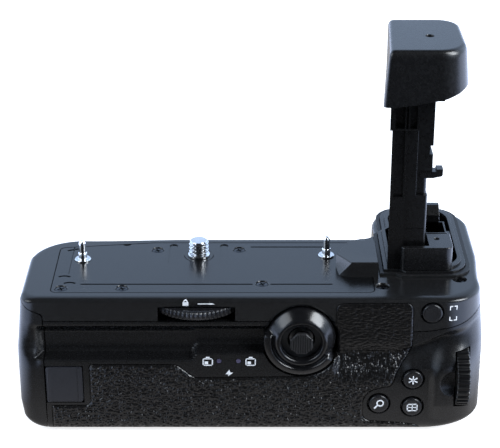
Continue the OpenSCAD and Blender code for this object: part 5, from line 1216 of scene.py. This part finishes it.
# Finishes of the CAD nodes that stay, and which of them have wider edges
STAYS = (
    (PLATE, ("screw_bush", "base_plate")),
    (STEEL, ("gear_carrier", "wheel_axle", "tripod_socket", "release_spindle", "joystick_gimbal",
             "button_switches", "rear_dial_axle", "rear_dial_bracket", "front_dial_axle",
             "front_dial_bracket")),
    (GOLD, ("screw_gear", "bay_contacts", "tray_contacts", "tower_terminals")),
    (INNER, ("magazine_bay", "magazine_tray", "joystick_housing")),
    (BOARD, ("bay_board", "main_board", "button_board", "af_board", "shutter_switch")),
    (LIGHT, ("charge_lights",)), (SEAL, ("tower_seal",)), (TOWER, ("tower_head",)),
)
finish_of = {name: material for material, names in STAYS for name in names}
WIDE_EDGES = ("tower_head", "base_plate", "magazine_tray")
for name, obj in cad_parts.items():
    if obj.hide_render:
        continue
    obj.data.materials.clear()
    obj.data.materials.append(finish_of[name])
    weld = obj.modifiers.new("weld", "WELD")
    weld.merge_threshold = 0.000002
    soft = obj.modifiers.new("edges", "BEVEL")
    soft.limit_method = "ANGLE"
    soft.angle_limit = math.radians(40)
    soft.width = 0.0002 if name in WIDE_EDGES else 0.00008
    soft.segments = 2
    soft.use_clamp_overlap = True


# Floor, light and camera, in metres

def span_of(nt, value, lo, hi, to_lo, to_hi):
    """Eased change of a varying value between two limits."""
    node = new_node(nt, "ShaderNodeMapRange", {
        "Value": value, "From Min": lo, "From Max": hi, "To Min": to_lo, "To Max": to_hi})
    node.interpolation_type = "SMOOTHSTEP"
    return node.outputs["Result"]


def math_of(nt, operation, a, b):
    """Sum, product and the like of varying values; b may be a number."""
    node = new_node(nt, "ShaderNodeMath", {0: a, 1: b})
    node.operation = operation
    return node.outputs[0]


def glow(nt, kind, colour, strength):
    return new_node(nt, kind, {"Color": (*colour, 1), "Strength": strength}).outputs[0]


def sum_of(nt, a, b):
    return new_node(nt, "ShaderNodeAddShader", {0: a, 1: b}).outputs[0]


def choice(nt, factor, a, b):
    return new_node(nt, "ShaderNodeMixShader", {0: factor, 1: a, 2: b}).outputs[0]


def parts_of(nt, vector):
    return new_node(nt, "ShaderNodeSeparateXYZ", {0: vector}).outputs


FLOOR_HALF, FLOOR_Z, MIDDLE_X = 6.0, -0.00002, 0.017
floor_mesh = bpy.data.meshes.new("floor")
floor_mesh.from_pydata([(a * FLOOR_HALF, b * FLOOR_HALF, FLOOR_Z)
                        for a, b in ((-1, -1), (1, -1), (1, 1), (-1, 1))], [], [(0, 1, 2, 3)])
floor = bpy.data.objects.new("floor", floor_mesh)
scene.collection.objects.link(floor)
mat = bpy.data.materials.new("floor_paint")
nt = tree_of(mat)
rays = new_node(nt, "ShaderNodeLightPath").outputs
# Seen plainly: pale paint that keeps the shadow, lifted to white
paint = new_node(nt, "ShaderNodeBsdfDiffuse", {"Color": (0.8, 0.8, 0.81, 1)}).outputs[0]
lift = glow(nt, "ShaderNodeEmission", (1, 1, 1),
            math_of(nt, "MULTIPLY", rays["Is Camera Ray"], 0.8))
# Seen in reflections: bright near the object, bluish beside its ends, dim towards the viewer
place = parts_of(nt, new_node(nt, "ShaderNodeNewGeometry").outputs["Position"])
far_part = span_of(nt, place["Y"], -0.30, -0.10, 0.0, 0.14)
close_part = span_of(nt, place["Y"], -0.08, -0.038, 0.0, 0.5)
aside = math_of(nt, "ABSOLUTE", math_of(nt, "SUBTRACT", place["X"], MIDDLE_X), 0.0)
end_part = math_of(nt, "MULTIPLY", span_of(nt, aside, 0.078, 0.125, 0.0, 2.6),
                   span_of(nt, place["Y"], -0.20, -0.09, 0.0, 1.0))
front_glow = glow(nt, "ShaderNodeEmission", (1.0, 0.985, 1.0),
                  math_of(nt, "ADD", far_part, close_part))
end_glow = glow(nt, "ShaderNodeEmission", (0.55, 0.68, 1.0), end_part)
look = choice(nt, rays["Is Glossy Ray"], sum_of(nt, paint, lift), sum_of(nt, front_glow, end_glow))
new_node(nt, "ShaderNodeOutputMaterial", {"Surface": look})
floor.data.materials.append(mat)

# World: bluish backdrop behind, paler sides, nearly dark in front and overhead
scene.world = bpy.data.worlds.new("studio")
nt = tree_of(scene.world)
rays = new_node(nt, "ShaderNodeLightPath").outputs
way = parts_of(nt, new_node(nt, "ShaderNodeTexCoord").outputs["Generated"])
under = span_of(nt, way["Z"], 0.70, 0.92, 1.0, 0.0)
behind = span_of(nt, way["Y"], 0.05, 0.6, 0.0, 1.27)
beside = span_of(nt, math_of(nt, "ABSOLUTE", way["X"], 0.0), 0.38, 0.85, 0.0, 1.5)
backdrop = glow(nt, "ShaderNodeBackground", (0.55, 0.72, 1.0),
                math_of(nt, "MULTIPLY", behind, under))
sides = glow(nt, "ShaderNodeBackground", (0.62, 0.77, 1.0),
             math_of(nt, "MULTIPLY", beside, under))
room = glow(nt, "ShaderNodeBackground", (0.9, 0.95, 1.0), 0.05)
white = glow(nt, "ShaderNodeBackground", (1, 1, 1), 1.0)
look = choice(nt, rays["Is Camera Ray"], sum_of(nt, sum_of(nt, backdrop, sides), room), white)
new_node(nt, "ShaderNodeOutputWorld", {"Surface": look})


def softbox(name, place, target, power):
    """Upright rectangular light that faces the target."""
    data = bpy.data.lights.new(name, "AREA")
    data.shape = "RECTANGLE"
    data.size, data.size_y = 0.25, 0.4
    data.energy = power
    data.color = (0.92, 0.96, 1.0)
    obj = bpy.data.objects.new(name, data)
    scene.collection.objects.link(obj)
    obj.location = place
    obj.rotation_euler = (Vector(target) - Vector(place)).to_track_quat("-Z", "Y").to_euler()


softbox("left_light", (-0.44, -0.22, 0.40), (0.01, -0.02, 0.03), 1.1)
softbox("right_light", (0.48, -0.22, 0.40), (0.03, -0.02, 0.03), 4.6)

data = bpy.data.cameras.new("camera")
data.sensor_width = 36.0
data.lens = 115.2
data.clip_start = 0.01
data.clip_end = 50.0
camera = bpy.data.objects.new("camera", data)
scene.collection.objects.link(camera)
camera.location = (0.0166, -0.4692, 0.2741)
camera.rotation_euler = (math.radians(65.3), 0.0, 0.0)
scene.camera = camera
scene.view_settings.view_transform = "Standard"
